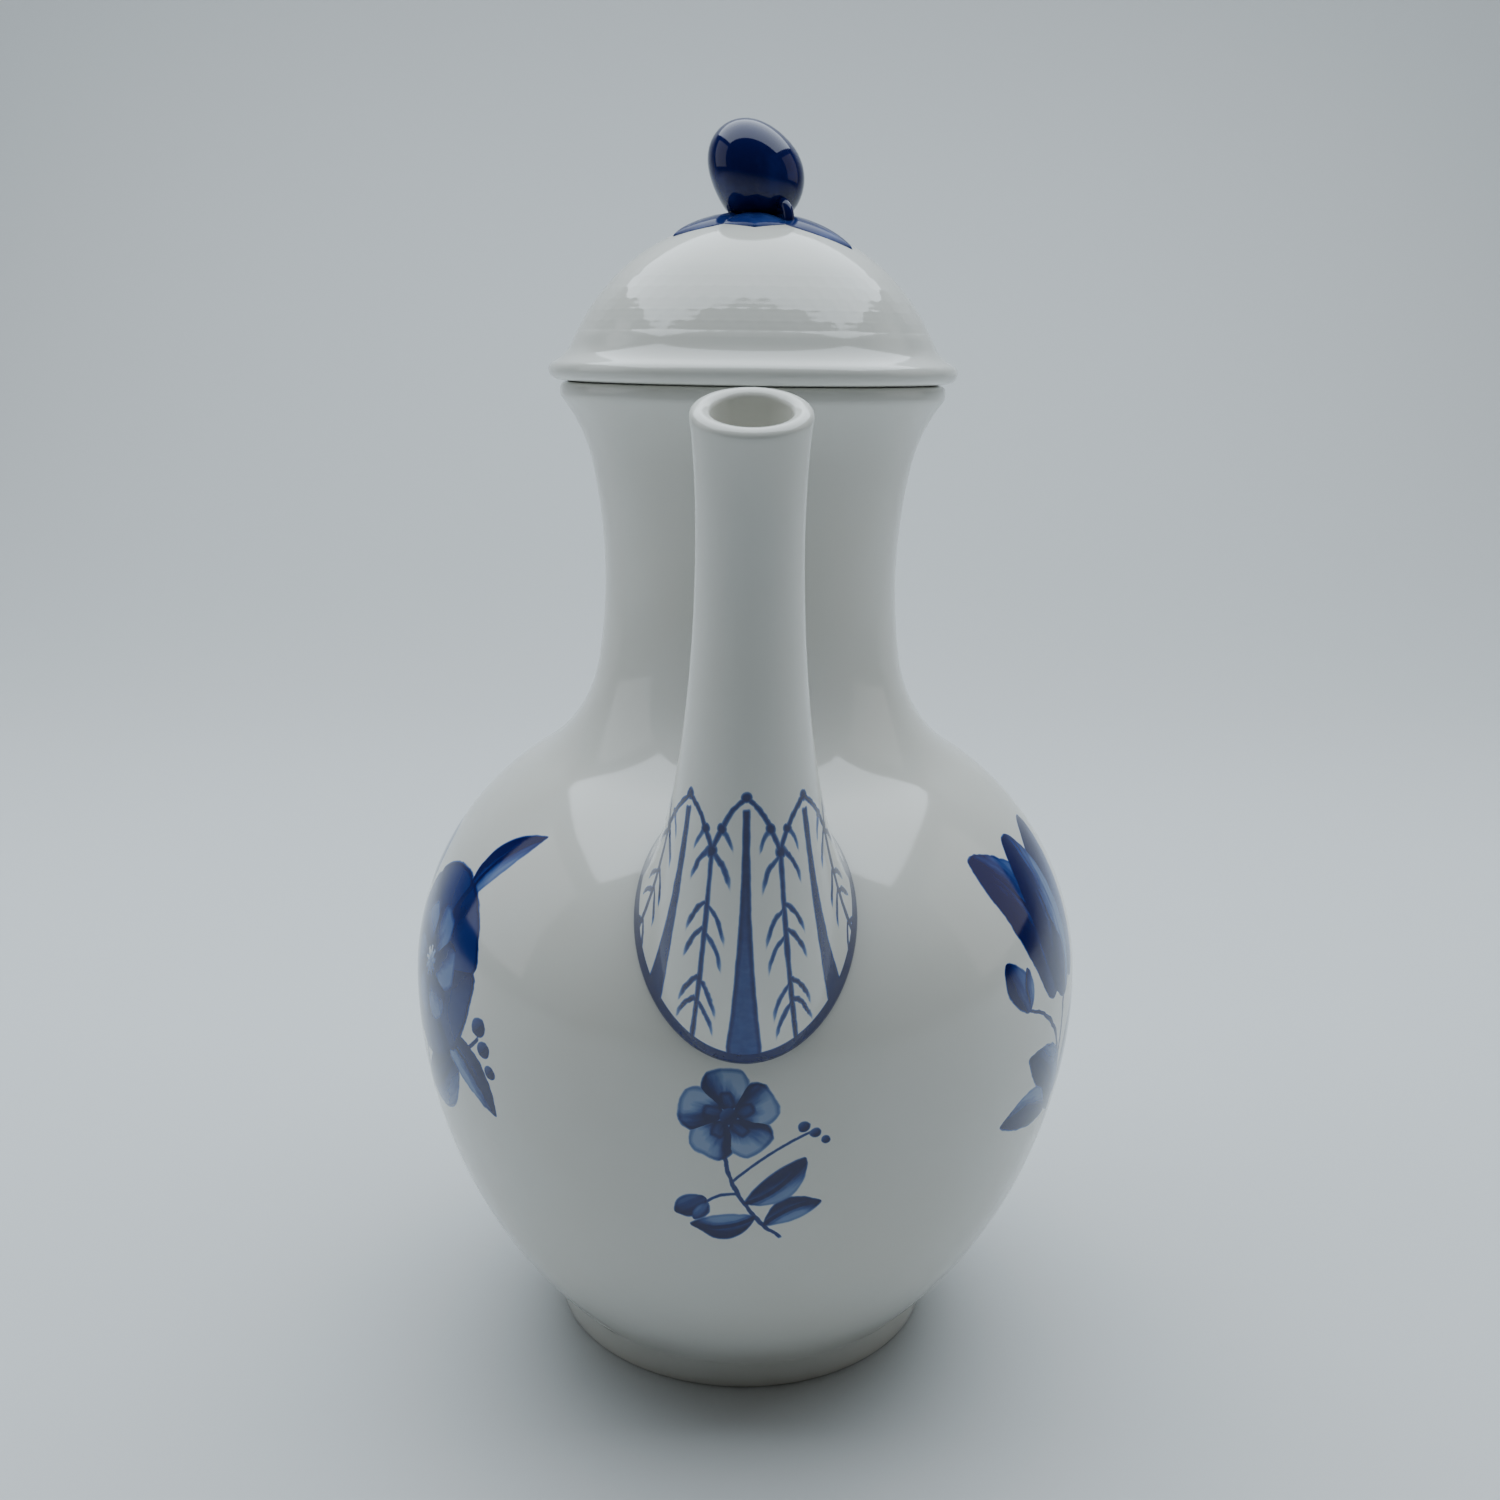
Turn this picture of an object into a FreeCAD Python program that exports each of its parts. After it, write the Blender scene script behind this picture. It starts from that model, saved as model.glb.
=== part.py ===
import FreeCAD, Part
import os
from math import atan2, cos, hypot, pi, radians, sin, sqrt

import Sketcher

# A tall porcelain coffee pot with a loose domed lid.
# The pot stands on the plane z = 0 with its axis on Z, the spout points to -Y and the handle to +Y.

V = FreeCAD.Vector

# Driving sizes in millimetres and degrees. Radii are from the pot's axis.
SIZES = {
    # Foot ring and base
    "foot_radius": 39.4,
    "foot_spread": 0.6,
    "foot_width": 4.0,
    "foot_height": 6.0,
    "base_recess": 3.5,
    "floor_height": 8.5,
    # Outline of belly, neck and rim
    "pot_wall": 3.0,
    "belly_radius": 66.9,
    "belly_height": 74.8,
    "shoulder_rise": 63.4,
    "throat_arc": 27.5,
    "neck_length": 51.8,
    "neck_arc": 104.0,
    "waist_radius": 28.2,
    "waist_drop": 34.9,
    "lip_depth": 14.0,
    "rim_flare": 8.0,
    "rim_band": 1.6,
    "rim_land": 3.6,
    "rim_round": 0.6,
    # Spout
    "root_rise": 32.2,
    "root_inset": 10.0,
    "root_pull": 35.0,
    "root_width": 43.0,
    "root_oval": 10.0,
    "tube_width": 14.7,
    "tube_oval": 0.4,
    "mouth_width": 16.9,
    "mouth_overhang": 17.1,
    "mouth_drop": 0.5,
    "mouth_lean": 20.0,
    "mouth_pull": 30.0,
    "mouth_round": 0.9,
    "spout_wall": 2.4,
    # Strainer pierced through the belly behind the spout
    "strainer_hole": 7.0,
    "strainer_ring": 7.5,
    "strainer_count": 3,
    # Handle
    "handle_width": 13.0,
    "handle_depth": 9.0,
    "handle_start_drop": 25.0,
    "handle_rise": 25.0,
    "handle_top_arc": 24.0,
    "handle_back_arc": 78.0,
    "handle_reach": 6.6,
    "handle_bulge_rise": 65.2,
    "handle_tail_turn": 30.0,
    "handle_tail_run": 24.0,
    # Lid
    "lid_rise": 30.4,
    "dome_radius": 36.8,
    "lid_wall": 3.0,
    "cove_arc": 6.3,
    "brim_overhang": 2.1,
    "brim_round": 1.8,
    "brim_lift": 1.25,
    "seat_inset": 1.2,
    "flange_depth": 11.0,
    "flange_wall": 3.0,
    "flange_gap": 1.0,
    "flange_step": 2.5,
    "dome_spring": 7.5,
    "vent_hole": 3.0,
    "vent_reach": 18.0,
    # Bud, stalk and leaves on top of the lid
    "bud_length": 9.6,
    "bud_width": 7.9,
    "bud_depth": 8.75,
    "bud_sink": 7.6,
    "bud_lean": 35.0,
    "stalk_turn": 52.0,
    "stalk_reach": 6.8,
    "stalk_arc": 3.0,
    "stalk_thickness": 2.0,
    "leaf_root": 6.4,
    "leaf_tip": 17.5,
    "leaf_width": 9.5,
    "leaf_thickness": 0.7,
    "leaf_count": 5,
}

# Sizes that follow from the driving ones, as formulas of a second sheet.
WORKED = {
    "rim_height": "sizes.belly_height + sizes.shoulder_rise + sizes.neck_length",
    "waist_height": "rim_height - sizes.waist_drop",
    "throat_height": "rim_height - sizes.neck_length",
    "lip_height": "rim_height - sizes.lip_depth",
    "neck_centre": "sizes.waist_radius + sizes.neck_arc",
    "rim_radius": "sizes.waist_radius + sizes.rim_flare",
    # The shoulder is the arc that leaves the belly upright and runs smoothly into the throat.
    "throat_share": "(sizes.neck_arc - sizes.throat_arc) / sizes.neck_arc",
    "throat_centre_r": "neck_centre - throat_share"
                       " * sqrt(sizes.neck_arc ^ 2 - (throat_height - waist_height) ^ 2)",
    "throat_centre_z": "waist_height + throat_share * (throat_height - waist_height)",
    "throat_in": "throat_centre_r - sizes.belly_radius",
    "throat_up": "throat_centre_z - sizes.belly_height",
    "shoulder_arc": "(throat_in ^ 2 + throat_up ^ 2 - sizes.throat_arc ^ 2)"
                    " / (2 * (sizes.throat_arc - throat_in))",
    "shoulder_centre": "sizes.belly_radius - shoulder_arc",
    "shoulder_top": "sizes.belly_height + throat_up * shoulder_arc / (shoulder_arc + sizes.throat_arc)",
    # The spout leaves the shoulder square to its surface and ends at the mouth.
    "root_cos": "sqrt(1 - (sizes.root_rise / shoulder_arc) ^ 2)",
    "root_sin": "sizes.root_rise / shoulder_arc",
    "root_r": "shoulder_centre + (shoulder_arc - sizes.root_inset) * root_cos",
    "root_z": "sizes.belly_height + (shoulder_arc - sizes.root_inset) * root_sin",
    "leave_r": "root_r + sizes.root_pull * root_cos",
    "leave_z": "root_z + sizes.root_pull * root_sin",
    "mouth_r": "sizes.belly_radius + sizes.mouth_overhang",
    "mouth_z": "rim_height - sizes.mouth_drop",
    "arrive_r": "mouth_r - sizes.mouth_pull * sin(sizes.mouth_lean * 1deg)",
    "arrive_z": "mouth_z - sizes.mouth_pull * cos(sizes.mouth_lean * 1deg)",
    # The lid's flange clears the narrowest part of the neck that it reaches.
    "flange_radius": "neck_centre - sizes.flange_gap"
                     " - sqrt((sizes.neck_arc + sizes.pot_wall) ^ 2"
                     " - (sizes.waist_drop - sizes.flange_depth) ^ 2)",
    "flange_low": "rim_height - sizes.flange_depth",
    "vault_foot": "rim_height + sizes.dome_spring",
    "lid_top": "rim_height + sizes.lid_rise",
    "dome_centre": "lid_top - sizes.dome_radius",
    # The brim overhangs the rim, and its roll stands clear of the dome however wide that is.
    "roll_height": "rim_height + sizes.brim_lift + sizes.brim_round",
    "dome_edge": "sqrt(sizes.dome_radius ^ 2 - (roll_height - dome_centre) ^ 2)",
    "brim_radius": "max(rim_radius + sizes.brim_overhang; dome_edge + sizes.brim_round)",
    "bud_centre": "lid_top + sizes.bud_sink",
}

# Shares of the way along the spout where its oval sections stand.
SPOUT_STATIONS = (0.0, 0.1, 0.2, 0.32, 0.46, 0.62, 0.8, 0.91, 1.0)
ROOT_TAPER = 2.6
MOUTH_FLARE = 8
# How much the cutting tools pass the walls that they go through.
OVERCUT = 2.0
# How near an edge lies to a plane that it is found by.
NEAR = 0.01
# A sketch's lean before its own number is bound, which only has to fix the axis of the turn.
FIRST_LEAN = 30.0


def make_sheet(doc, name, cells, prefix):
    """A sheet with one named cell for each entry, in the order given."""
    sheet = doc.addObject("Spreadsheet::Sheet", name)
    for row, (alias, content) in enumerate(cells.items(), start=1):
        sheet.set("A%d" % row, alias)
        sheet.set("B%d" % row, prefix + str(content))
        sheet.setAlias("B%d" % row, alias)
    doc.recompute()
    return sheet


doc = FreeCAD.newDocument("coffee_pot")
sizes = make_sheet(doc, "sizes", SIZES, "")
worked = make_sheet(doc, "worked", WORKED, "=")


def value(alias):
    """The number in a named cell of either sheet."""
    sheet = sizes if alias in SIZES else worked
    return float(sheet.get(alias))


def origin_part(body, role):
    """A plane or axis of a body's own origin."""
    return next(item for item in body.Origin.OriginFeatures if item.Role == role)


def make_body(name):
    body = doc.addObject("PartDesign::Body", name)
    body.Label = name
    return body


def make_sketch(body, name, plane):
    sketch = body.newObject("Sketcher::SketchObject", name)
    sketch.AttachmentSupport = (origin_part(body, plane), [""])
    sketch.MapMode = "FlatFace"
    return sketch


class Outline:
    """A closed chain of lines and arcs whose corners are shared and whose sizes are bound to cells."""

    def __init__(self, body, name, plane="XZ_Plane"):
        self.sketch = make_sketch(body, name, plane)
        self.pieces = []

    def line(self, start, end, smooth=False):
        curve = Part.LineSegment(V(*start, 0), V(*end, 0))
        return self._add(curve, 1, 2, smooth)

    def arc(self, centre, start, end, clockwise=False, smooth=False):
        """An arc round a centre from one point to another, joined tangentially where it is smooth."""
        radius = hypot(start[0] - centre[0], start[1] - centre[1])
        first = atan2(start[1] - centre[1], start[0] - centre[0])
        last = atan2(end[1] - centre[1], end[0] - centre[0])
        circle = Part.Circle(V(*centre, 0), V(0, 0, 1), radius)
        if clockwise:
            return self._add(Part.ArcOfCircle(circle, last, first), 2, 1, smooth)
        return self._add(Part.ArcOfCircle(circle, first, last), 1, 2, smooth)

    def _add(self, curve, start, end, smooth):
        index = self.sketch.addGeometry(curve, False)
        if self.pieces:
            self._join(self.pieces[-1], (index, start, end), smooth)
        self.pieces.append((index, start, end))
        return index

    def _join(self, before, after, smooth):
        kind = "Tangent" if smooth else "Coincident"
        self.rule(kind, before[0], before[2], after[0], after[1])

    def close(self):
        self._join(self.pieces[-1], self.pieces[0], False)

    def rule(self, *words):
        return self.sketch.addConstraint(Sketcher.Constraint(*words))

    def bind(self, expression, *words):
        """A size whose number comes from an expression on the cells."""
        index = self.rule(*words)
        self.sketch.setExpression("Constraints[%d]" % index, expression)

    def start(self, piece):
        return (piece, next(item[1] for item in self.pieces if item[0] == piece))

    def end(self, piece):
        return (piece, next(item[2] for item in self.pieces if item[0] == piece))

    def across(self, point, expression, number):
        """The point's distance from the sketch's upright axis."""
        self.bind(expression, "DistanceX", -1, 1, *point, number)

    def above(self, point, expression, number):
        """The point's height over the sketch's level axis."""
        self.bind(expression, "DistanceY", -1, 1, *point, number)

    def radius(self, piece, expression, number):
        self.bind(expression, "Radius", piece, number)

    def level(self, piece):
        self.rule("Horizontal", piece)

    def upright(self, piece):
        self.rule("Vertical", piece)


def cut(name, base, tool):
    """What is left of one solid outside another."""
    result = doc.addObject("Part::Cut", name)
    result.Base = base
    result.Tool = tool
    return result


def make_slice(name, cast, low, high):
    """The part of a cast piece between two levels."""
    disc = doc.addObject("Part::Cylinder", name + "_disc")
    disc.setExpression("Radius", "2 * sizes.belly_radius")
    disc.setExpression("Height", "%s - %s" % (high, low))
    disc.setExpression("Placement.Base.z", low)
    result = doc.addObject("Part::Common", name)
    result.Base = cast
    result.Tool = disc
    return result


def revolve(body, outline, name):
    """The body of revolution of an outline about the pot's axis."""
    feature = body.newObject("PartDesign::Revolution", name)
    feature.Profile = outline.sketch
    feature.ReferenceAxis = (outline.sketch, ["V_Axis"])
    feature.Angle = 360
    doc.recompute()
    return feature


def toward(start, end, distance):
    """The point at a distance from one point in the direction of another."""
    length = hypot(end[0] - start[0], end[1] - start[1])
    share = distance / length
    return (start[0] + share * (end[0] - start[0]), start[1] + share * (end[1] - start[1]))


def on_circle(centre, radius, height, side):
    """The point of a circle at a height, on the side that faces away from or to the axis."""
    return (centre[0] + side * sqrt(radius ** 2 - (height - centre[1]) ** 2), height)


def circle_through(point, tangent, end):
    """Centre of the circle that leaves a point along a tangent and passes through an end point."""
    normal = (tangent[1], -tangent[0])
    chord = (end[0] - point[0], end[1] - point[1])
    radius = (chord[0] ** 2 + chord[1] ** 2) / (2 * (chord[0] * normal[0] + chord[1] * normal[1]))
    return (point[0] + radius * normal[0], point[1] + radius * normal[1])


class PotWall:
    """Corner points of one face of the pot's wall, set in from the outside by a distance."""

    def __init__(self, inset):
        belly = value("belly_radius")
        height = value("belly_height")
        foot = (value("foot_radius") + value("foot_spread"), value("foot_height"))
        run = belly - foot[0]
        belly_arc = ((height - foot[1]) ** 2 + run ** 2) / (2 * run)
        self.belly_centre = (belly - belly_arc, height)
        self.shoulder_centre = (value("shoulder_centre"), height)
        self.throat_centre = (value("throat_centre_r"), value("throat_centre_z"))
        self.neck_centre = (value("neck_centre"), value("waist_height"))
        self.foot = foot
        self.floor = on_circle(self.belly_centre, belly_arc - inset, value("floor_height"), 1)
        self.belly = (belly - inset, height)
        shoulder = value("shoulder_arc") - inset
        neck = value("neck_arc") + inset
        self.shoulder = toward(self.shoulder_centre, self.throat_centre, shoulder)
        self.throat = toward(self.neck_centre, self.throat_centre, neck)
        self.lip = on_circle(self.neck_centre, neck, value("lip_height"), -1)

    def lip_centre(self, edge):
        """Centre of the arc that runs on smoothly from the neck to the rim's edge."""
        spoke = toward(self.lip, self.neck_centre, 1.0)
        tangent = (self.lip[1] - spoke[1], spoke[0] - self.lip[0])
        return circle_through(self.lip, tangent, edge)


def draw_outer_wall(outline):
    """The outside from the foot to the rim's outer corner: four smooth arcs and the lip."""
    wall = PotWall(0.0)
    rim = value("rim_height")
    edge = (value("rim_radius"), rim - value("rim_band"))
    corner = (value("rim_radius"), rim)
    toe = (value("foot_radius"), 0.0)
    foot = outline.line(toe, wall.foot)
    belly = outline.arc(wall.belly_centre, wall.foot, wall.belly)
    shoulder = outline.arc(wall.shoulder_centre, wall.belly, wall.shoulder)
    throat = outline.arc(wall.throat_centre, wall.shoulder, wall.throat, clockwise=True, smooth=True)
    neck = outline.arc(wall.neck_centre, wall.throat, wall.lip, clockwise=True, smooth=True)
    lip = outline.arc(wall.lip_centre(edge), wall.lip, edge, clockwise=True, smooth=True)
    band = outline.line(edge, corner)

    outline.across(outline.start(foot), "sizes.foot_radius", toe[0])
    outline.across(outline.end(foot), "sizes.foot_radius + sizes.foot_spread", wall.foot[0])
    outline.above(outline.end(foot), "sizes.foot_height", wall.foot[1])
    outline.across(outline.end(belly), "sizes.belly_radius", wall.belly[0])
    outline.above(outline.end(belly), "sizes.belly_height", wall.belly[1])
    for arc in (belly, shoulder):
        outline.above((arc, 3), "sizes.belly_height", wall.belly[1])
    outline.radius(throat, "sizes.throat_arc", value("throat_arc"))
    outline.above(outline.end(throat), "worked.throat_height", wall.throat[1])
    outline.across((neck, 3), "worked.neck_centre", wall.neck_centre[0])
    outline.above((neck, 3), "worked.waist_height", wall.neck_centre[1])
    outline.radius(neck, "sizes.neck_arc", value("neck_arc"))
    outline.above(outline.end(neck), "worked.lip_height", wall.lip[1])
    outline.across(outline.end(lip), "worked.rim_radius", edge[0])
    outline.above(outline.end(lip), "worked.rim_height - sizes.rim_band", edge[1])
    outline.upright(band)
    outline.above(outline.end(band), "worked.rim_height", rim)
    return {"belly": belly, "shoulder": shoulder, "neck": neck}, toe, corner


def draw_inner_wall(outline, outer, corner):
    """The inside from the rim down to the floor, one wall inside the outside."""
    inset = value("pot_wall")
    wall = PotWall(inset)
    edge = (corner[0] - value("rim_land"), corner[1])
    axis_floor = (0.0, wall.floor[1])
    land = outline.line(corner, edge)
    lip = outline.arc(wall.lip_centre(edge), edge, wall.lip)
    neck = outline.arc(wall.neck_centre, wall.lip, wall.throat, smooth=True)
    throat = outline.arc(wall.throat_centre, wall.throat, wall.shoulder, smooth=True)
    shoulder = outline.arc(wall.shoulder_centre, wall.shoulder, wall.belly, clockwise=True, smooth=True)
    belly = outline.arc(wall.belly_centre, wall.belly, wall.floor, clockwise=True)
    floor = outline.line(wall.floor, axis_floor)

    outline.level(land)
    outline.across(outline.end(land), "worked.rim_radius - sizes.rim_land", edge[0])
    outline.above(outline.end(lip), "worked.lip_height", wall.lip[1])
    outline.rule("Coincident", neck, 3, outer["neck"], 3)
    outline.radius(neck, "sizes.neck_arc + sizes.pot_wall", value("neck_arc") + inset)
    outline.radius(throat, "sizes.throat_arc + sizes.pot_wall", value("throat_arc") + inset)
    outline.rule("Coincident", shoulder, 3, outer["shoulder"], 3)
    outline.across(outline.end(shoulder), "sizes.belly_radius - sizes.pot_wall", wall.belly[0])
    outline.above(outline.end(shoulder), "sizes.belly_height", wall.belly[1])
    outline.rule("Coincident", belly, 3, outer["belly"], 3)
    outline.level(floor)
    outline.above(outline.end(belly), "sizes.floor_height", wall.floor[1])
    outline.across(outline.end(floor), "0", 0.0)
    return axis_floor


def fillet_edges(body, name, base, radius_cell, wanted):
    """Round the edges of a feature for which a test holds."""
    doc.recompute()
    names = ["Edge%d" % number for number, edge in enumerate(base.Shape.Edges, start=1) if wanted(edge)]
    fillet = body.newObject("PartDesign::Fillet", name)
    fillet.Base = (base, names)
    fillet.setExpression("Radius", "sizes." + radius_cell)
    body.Tip = fillet
    doc.recompute()
    return fillet


def bore(body, sketch, name, length):
    """Cut a sketch's circles through along the way the sketch faces, and check that it cuts."""
    doc.recompute()
    before = body.Shape.Volume
    pocket = body.newObject("PartDesign::Pocket", name)
    pocket.Profile = sketch
    pocket.Type = "Length"
    pocket.setExpression("Length", length)
    pocket.Reversed = True
    doc.recompute()
    if body.Shape.Volume >= before:
        raise RuntimeError(name + " cuts nothing")
    return pocket


def circle_sketch(body, name, reach, diameter):
    """A sketch with one circle on its upright axis, to be placed by its offset."""
    sketch = make_sketch(body, name, "XY_Plane")
    circle = Part.Circle(V(0, value_of(reach), 0), V(0, 0, 1), value_of(diameter) / 2)
    sketch.addGeometry(circle, False)
    sketch.addConstraint(Sketcher.Constraint("PointOnObject", 0, 3, -2))
    above = sketch.addConstraint(Sketcher.Constraint("DistanceY", -1, 1, 0, 3, value_of(reach)))
    sketch.setExpression("Constraints[%d]" % above, reach)
    size = sketch.addConstraint(Sketcher.Constraint("Diameter", 0, value_of(diameter)))
    sketch.setExpression("Constraints[%d]" % size, diameter)
    return sketch


def value_of(expression):
    """The number of a plain cell reference or of a written number."""
    if expression.startswith(("sizes.", "worked.")):
        return value(expression.split(".")[1])
    return float(expression)


def place_sketch(sketch, across_y, height, lean):
    """Stand a level sketch at a place on the middle plane, leaning about the X axis."""
    sketch.AttachmentOffset = FreeCAD.Placement(V(0, 0, 0), FreeCAD.Rotation(V(1, 0, 0), FIRST_LEAN))
    sketch.setExpression("AttachmentOffset.Base.y", across_y)
    sketch.setExpression("AttachmentOffset.Base.z", height)
    sketch.setExpression("AttachmentOffset.Rotation.Angle", lean)


def make_pot_envelope():
    """The pot's outside filled solid, which trims what is joined to it."""
    body = make_body("pot_envelope")
    outline = Outline(body, "envelope_outline")
    _, toe, corner = draw_outer_wall(outline)
    top = (0.0, corner[1])
    cover = outline.line(corner, top)
    axis = outline.line(top, (0.0, 0.0))
    bottom = outline.line((0.0, 0.0), toe)
    outline.close()
    outline.level(cover)
    outline.across(outline.end(cover), "0", 0.0)
    outline.rule("Coincident", *outline.end(axis), -1, 1)
    outline.level(bottom)
    revolve(body, outline, "envelope_solid")
    return body


def make_cast_pot():
    """The cast pot: outer and inner wall in one outline, a recessed base and the strainer holes."""
    body = make_body("cast_pot")
    outline = Outline(body, "pot_outline")
    outer, toe, corner = draw_outer_wall(outline)
    axis_floor = draw_inner_wall(outline, outer, corner)
    ring = value("foot_radius") - value("foot_width")
    recess = value("base_recess")
    core = outline.line(axis_floor, (0.0, recess))
    base = outline.line((0.0, recess), (ring, recess))
    ring_wall = outline.line((ring, recess), (ring, 0.0))
    contact = outline.line((ring, 0.0), toe)
    outline.close()
    outline.upright(core)
    outline.above(outline.end(core), "sizes.base_recess", recess)
    outline.level(base)
    outline.upright(ring_wall)
    outline.across(outline.end(base), "sizes.foot_radius - sizes.foot_width", ring)
    outline.level(contact)
    outline.rule("PointOnObject", *outline.start(contact), -1)
    shell = revolve(body, outline, "pot_shell")

    rim = value("rim_height")
    fillet_edges(body, "rim_rounding", shell, "rim_round", lambda edge: edge.BoundBox.ZMin > rim - NEAR)
    circle = circle_sketch(body, "strainer_circle", "sizes.strainer_ring", "sizes.strainer_hole")
    place_sketch(circle, "-worked.root_r", "worked.root_z", "acos(worked.root_sin)")
    hole = bore(body, circle, "strainer_bore", "2 * sizes.root_inset")
    pattern = body.newObject("PartDesign::PolarPattern", "strainer_pattern")
    pattern.Originals = [hole]
    pattern.Axis = (circle, ["N_Axis"])
    pattern.Angle = 360
    pattern.setExpression("Occurrences", "sizes.strainer_count")
    body.Tip = pattern
    doc.recompute()
    return body


def blend(share, points):
    """Expression for a place on the curve that four cells steer, a cubic in the share of the way."""
    rest = 1.0 - share
    weights = (rest ** 3, 3 * rest ** 2 * share, 3 * rest * share ** 2, share ** 3)
    return " + ".join("%.6f * worked.%s" % pair for pair in zip(weights, points))


def slope(share, points):
    """Expression for the rate of change of that place."""
    rest = 1.0 - share
    weights = (-rest ** 2, rest ** 2 - 2 * rest * share, 2 * rest * share - share ** 2, share ** 2)
    return " + ".join("(%.6f) * worked.%s" % pair for pair in zip(weights, points))


OUTWARD = ("root_r", "leave_r", "arrive_r", "mouth_r")
UPWARD = ("root_z", "leave_z", "arrive_z", "mouth_z")


def spout_section(body, name, share, wall):
    """One oval across the spout: wide at the root, narrow along the tube, flared at the mouth."""
    sketch = make_sketch(body, name, "XY_Plane")
    taper = (1.0 - share) ** ROOT_TAPER
    flare = share ** MOUTH_FLARE
    width = ("sizes.tube_width + %.6f * (sizes.root_width - sizes.tube_width)"
             " + %.6f * (sizes.mouth_width - sizes.tube_width) - 2 * %s" % (taper, flare, wall))
    depth = "%s + sizes.tube_oval + %.6f * sizes.root_oval" % (width, taper)
    half_width = value("root_width") / 2
    half_depth = half_width + value("root_oval")
    ellipse = Part.Ellipse(V(0, half_depth, 0), V(-half_width, 0, 0), V(0, 0, 0))
    oval = sketch.addGeometry(ellipse, False)
    sketch.exposeInternalGeometry(oval)
    long_axis = oval + 1
    short_axis = oval + 2
    sketch.addConstraint(Sketcher.Constraint("Coincident", oval, 3, -1, 1))
    sketch.addConstraint(Sketcher.Constraint("Vertical", long_axis))
    for axis, expression, number in ((long_axis, depth, half_depth), (short_axis, width, half_width)):
        index = sketch.addConstraint(Sketcher.Constraint("Distance", axis, 2 * number))
        sketch.setExpression("Constraints[%d]" % index, expression)
    lean = "atan2(%s; %s)" % (slope(share, OUTWARD), slope(share, UPWARD))
    place_sketch(sketch, "-(%s)" % blend(share, OUTWARD), blend(share, UPWARD), lean)
    return sketch


def make_spout(envelope):
    """The cast spout: a hollow oval tube along an S curve, trimmed by the shoulder that it stands on."""
    body = make_body("spout_tube")
    for kind, name, wall in (
        ("AdditiveLoft", "outside", "0"),
        ("SubtractiveLoft", "channel", "sizes.spout_wall"),
    ):
        sections = [
            spout_section(body, "%s_oval_%d" % (name, number), share, wall)
            for number, share in enumerate(SPOUT_STATIONS)
        ]
        doc.recompute()
        loft = body.newObject("PartDesign::" + kind, "spout_" + name)
        loft.Profile = sections[0]
        loft.Sections = sections[1:]
        doc.recompute()
    mouth = V(0, -value("mouth_r"), value("mouth_z"))
    near = value("spout_wall")
    fillet_edges(body, "mouth_rounding", loft, "mouth_round",
                 lambda edge: edge.Closed and (edge.CenterOfMass - mouth).Length < near)
    return cut("spout", body, envelope)


def handle_path(body):
    """The handle's middle line: a run out of the neck, two arcs of one turn and a run into the belly."""
    path = Outline(body, "handle_path", "YZ_Plane")
    rise = radians(value("handle_rise"))
    tail = radians(value("handle_tail_turn"))
    start = (value("waist_radius") - value("pot_wall"), value("rim_height") - value("handle_start_drop"))
    top = value("handle_top_arc")
    back = value("handle_back_arc")
    ahead = (cos(rise), sin(rise))
    back_centre = (value("belly_radius") + value("handle_reach") - back,
                   value("belly_height") + value("handle_bulge_rise"))
    # The run is as long as lets the upper arc touch the back arc.
    offset = (start[0] + top * ahead[1] - back_centre[0], start[1] - top * ahead[0] - back_centre[1])
    along = offset[0] * ahead[0] + offset[1] * ahead[1]
    spare = (back - top) ** 2 - offset[0] ** 2 - offset[1] ** 2
    run = -along + sqrt(along ** 2 + spare)
    turn = (start[0] + run * ahead[0], start[1] + run * ahead[1])
    top_centre = (turn[0] + top * ahead[1], turn[1] - top * ahead[0])
    middle = toward(back_centre, top_centre, back)
    low = (back_centre[0] + back * cos(tail), back_centre[1] - back * sin(tail))
    tail_run = value("handle_tail_run")
    end = (low[0] - tail_run * sin(tail), low[1] - tail_run * cos(tail))

    out = path.line(start, turn)
    crown = path.arc(top_centre, turn, middle, clockwise=True, smooth=True)
    grip = path.arc(back_centre, middle, low, clockwise=True, smooth=True)
    home = path.line(low, end, smooth=True)
    path.across(path.start(out), "sizes.waist_radius - sizes.pot_wall", start[0])
    path.above(path.start(out), "worked.rim_height - sizes.handle_start_drop", start[1])
    path.bind("sizes.handle_rise", "Angle", out, rise)
    path.radius(crown, "sizes.handle_top_arc", top)
    path.radius(grip, "sizes.handle_back_arc", back)
    path.above((grip, 3), "sizes.belly_height + sizes.handle_bulge_rise", back_centre[1])
    bulge = "sizes.handle_back_arc - sizes.belly_radius - sizes.handle_reach"
    path.bind(bulge, "DistanceX", grip, 3, -1, 1, -back_centre[0])
    path.bind("sizes.handle_tail_run", "Distance", home, tail_run)
    path.bind("-90 - sizes.handle_tail_turn", "Angle", home, -pi / 2 - tail)
    return path.sketch


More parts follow.
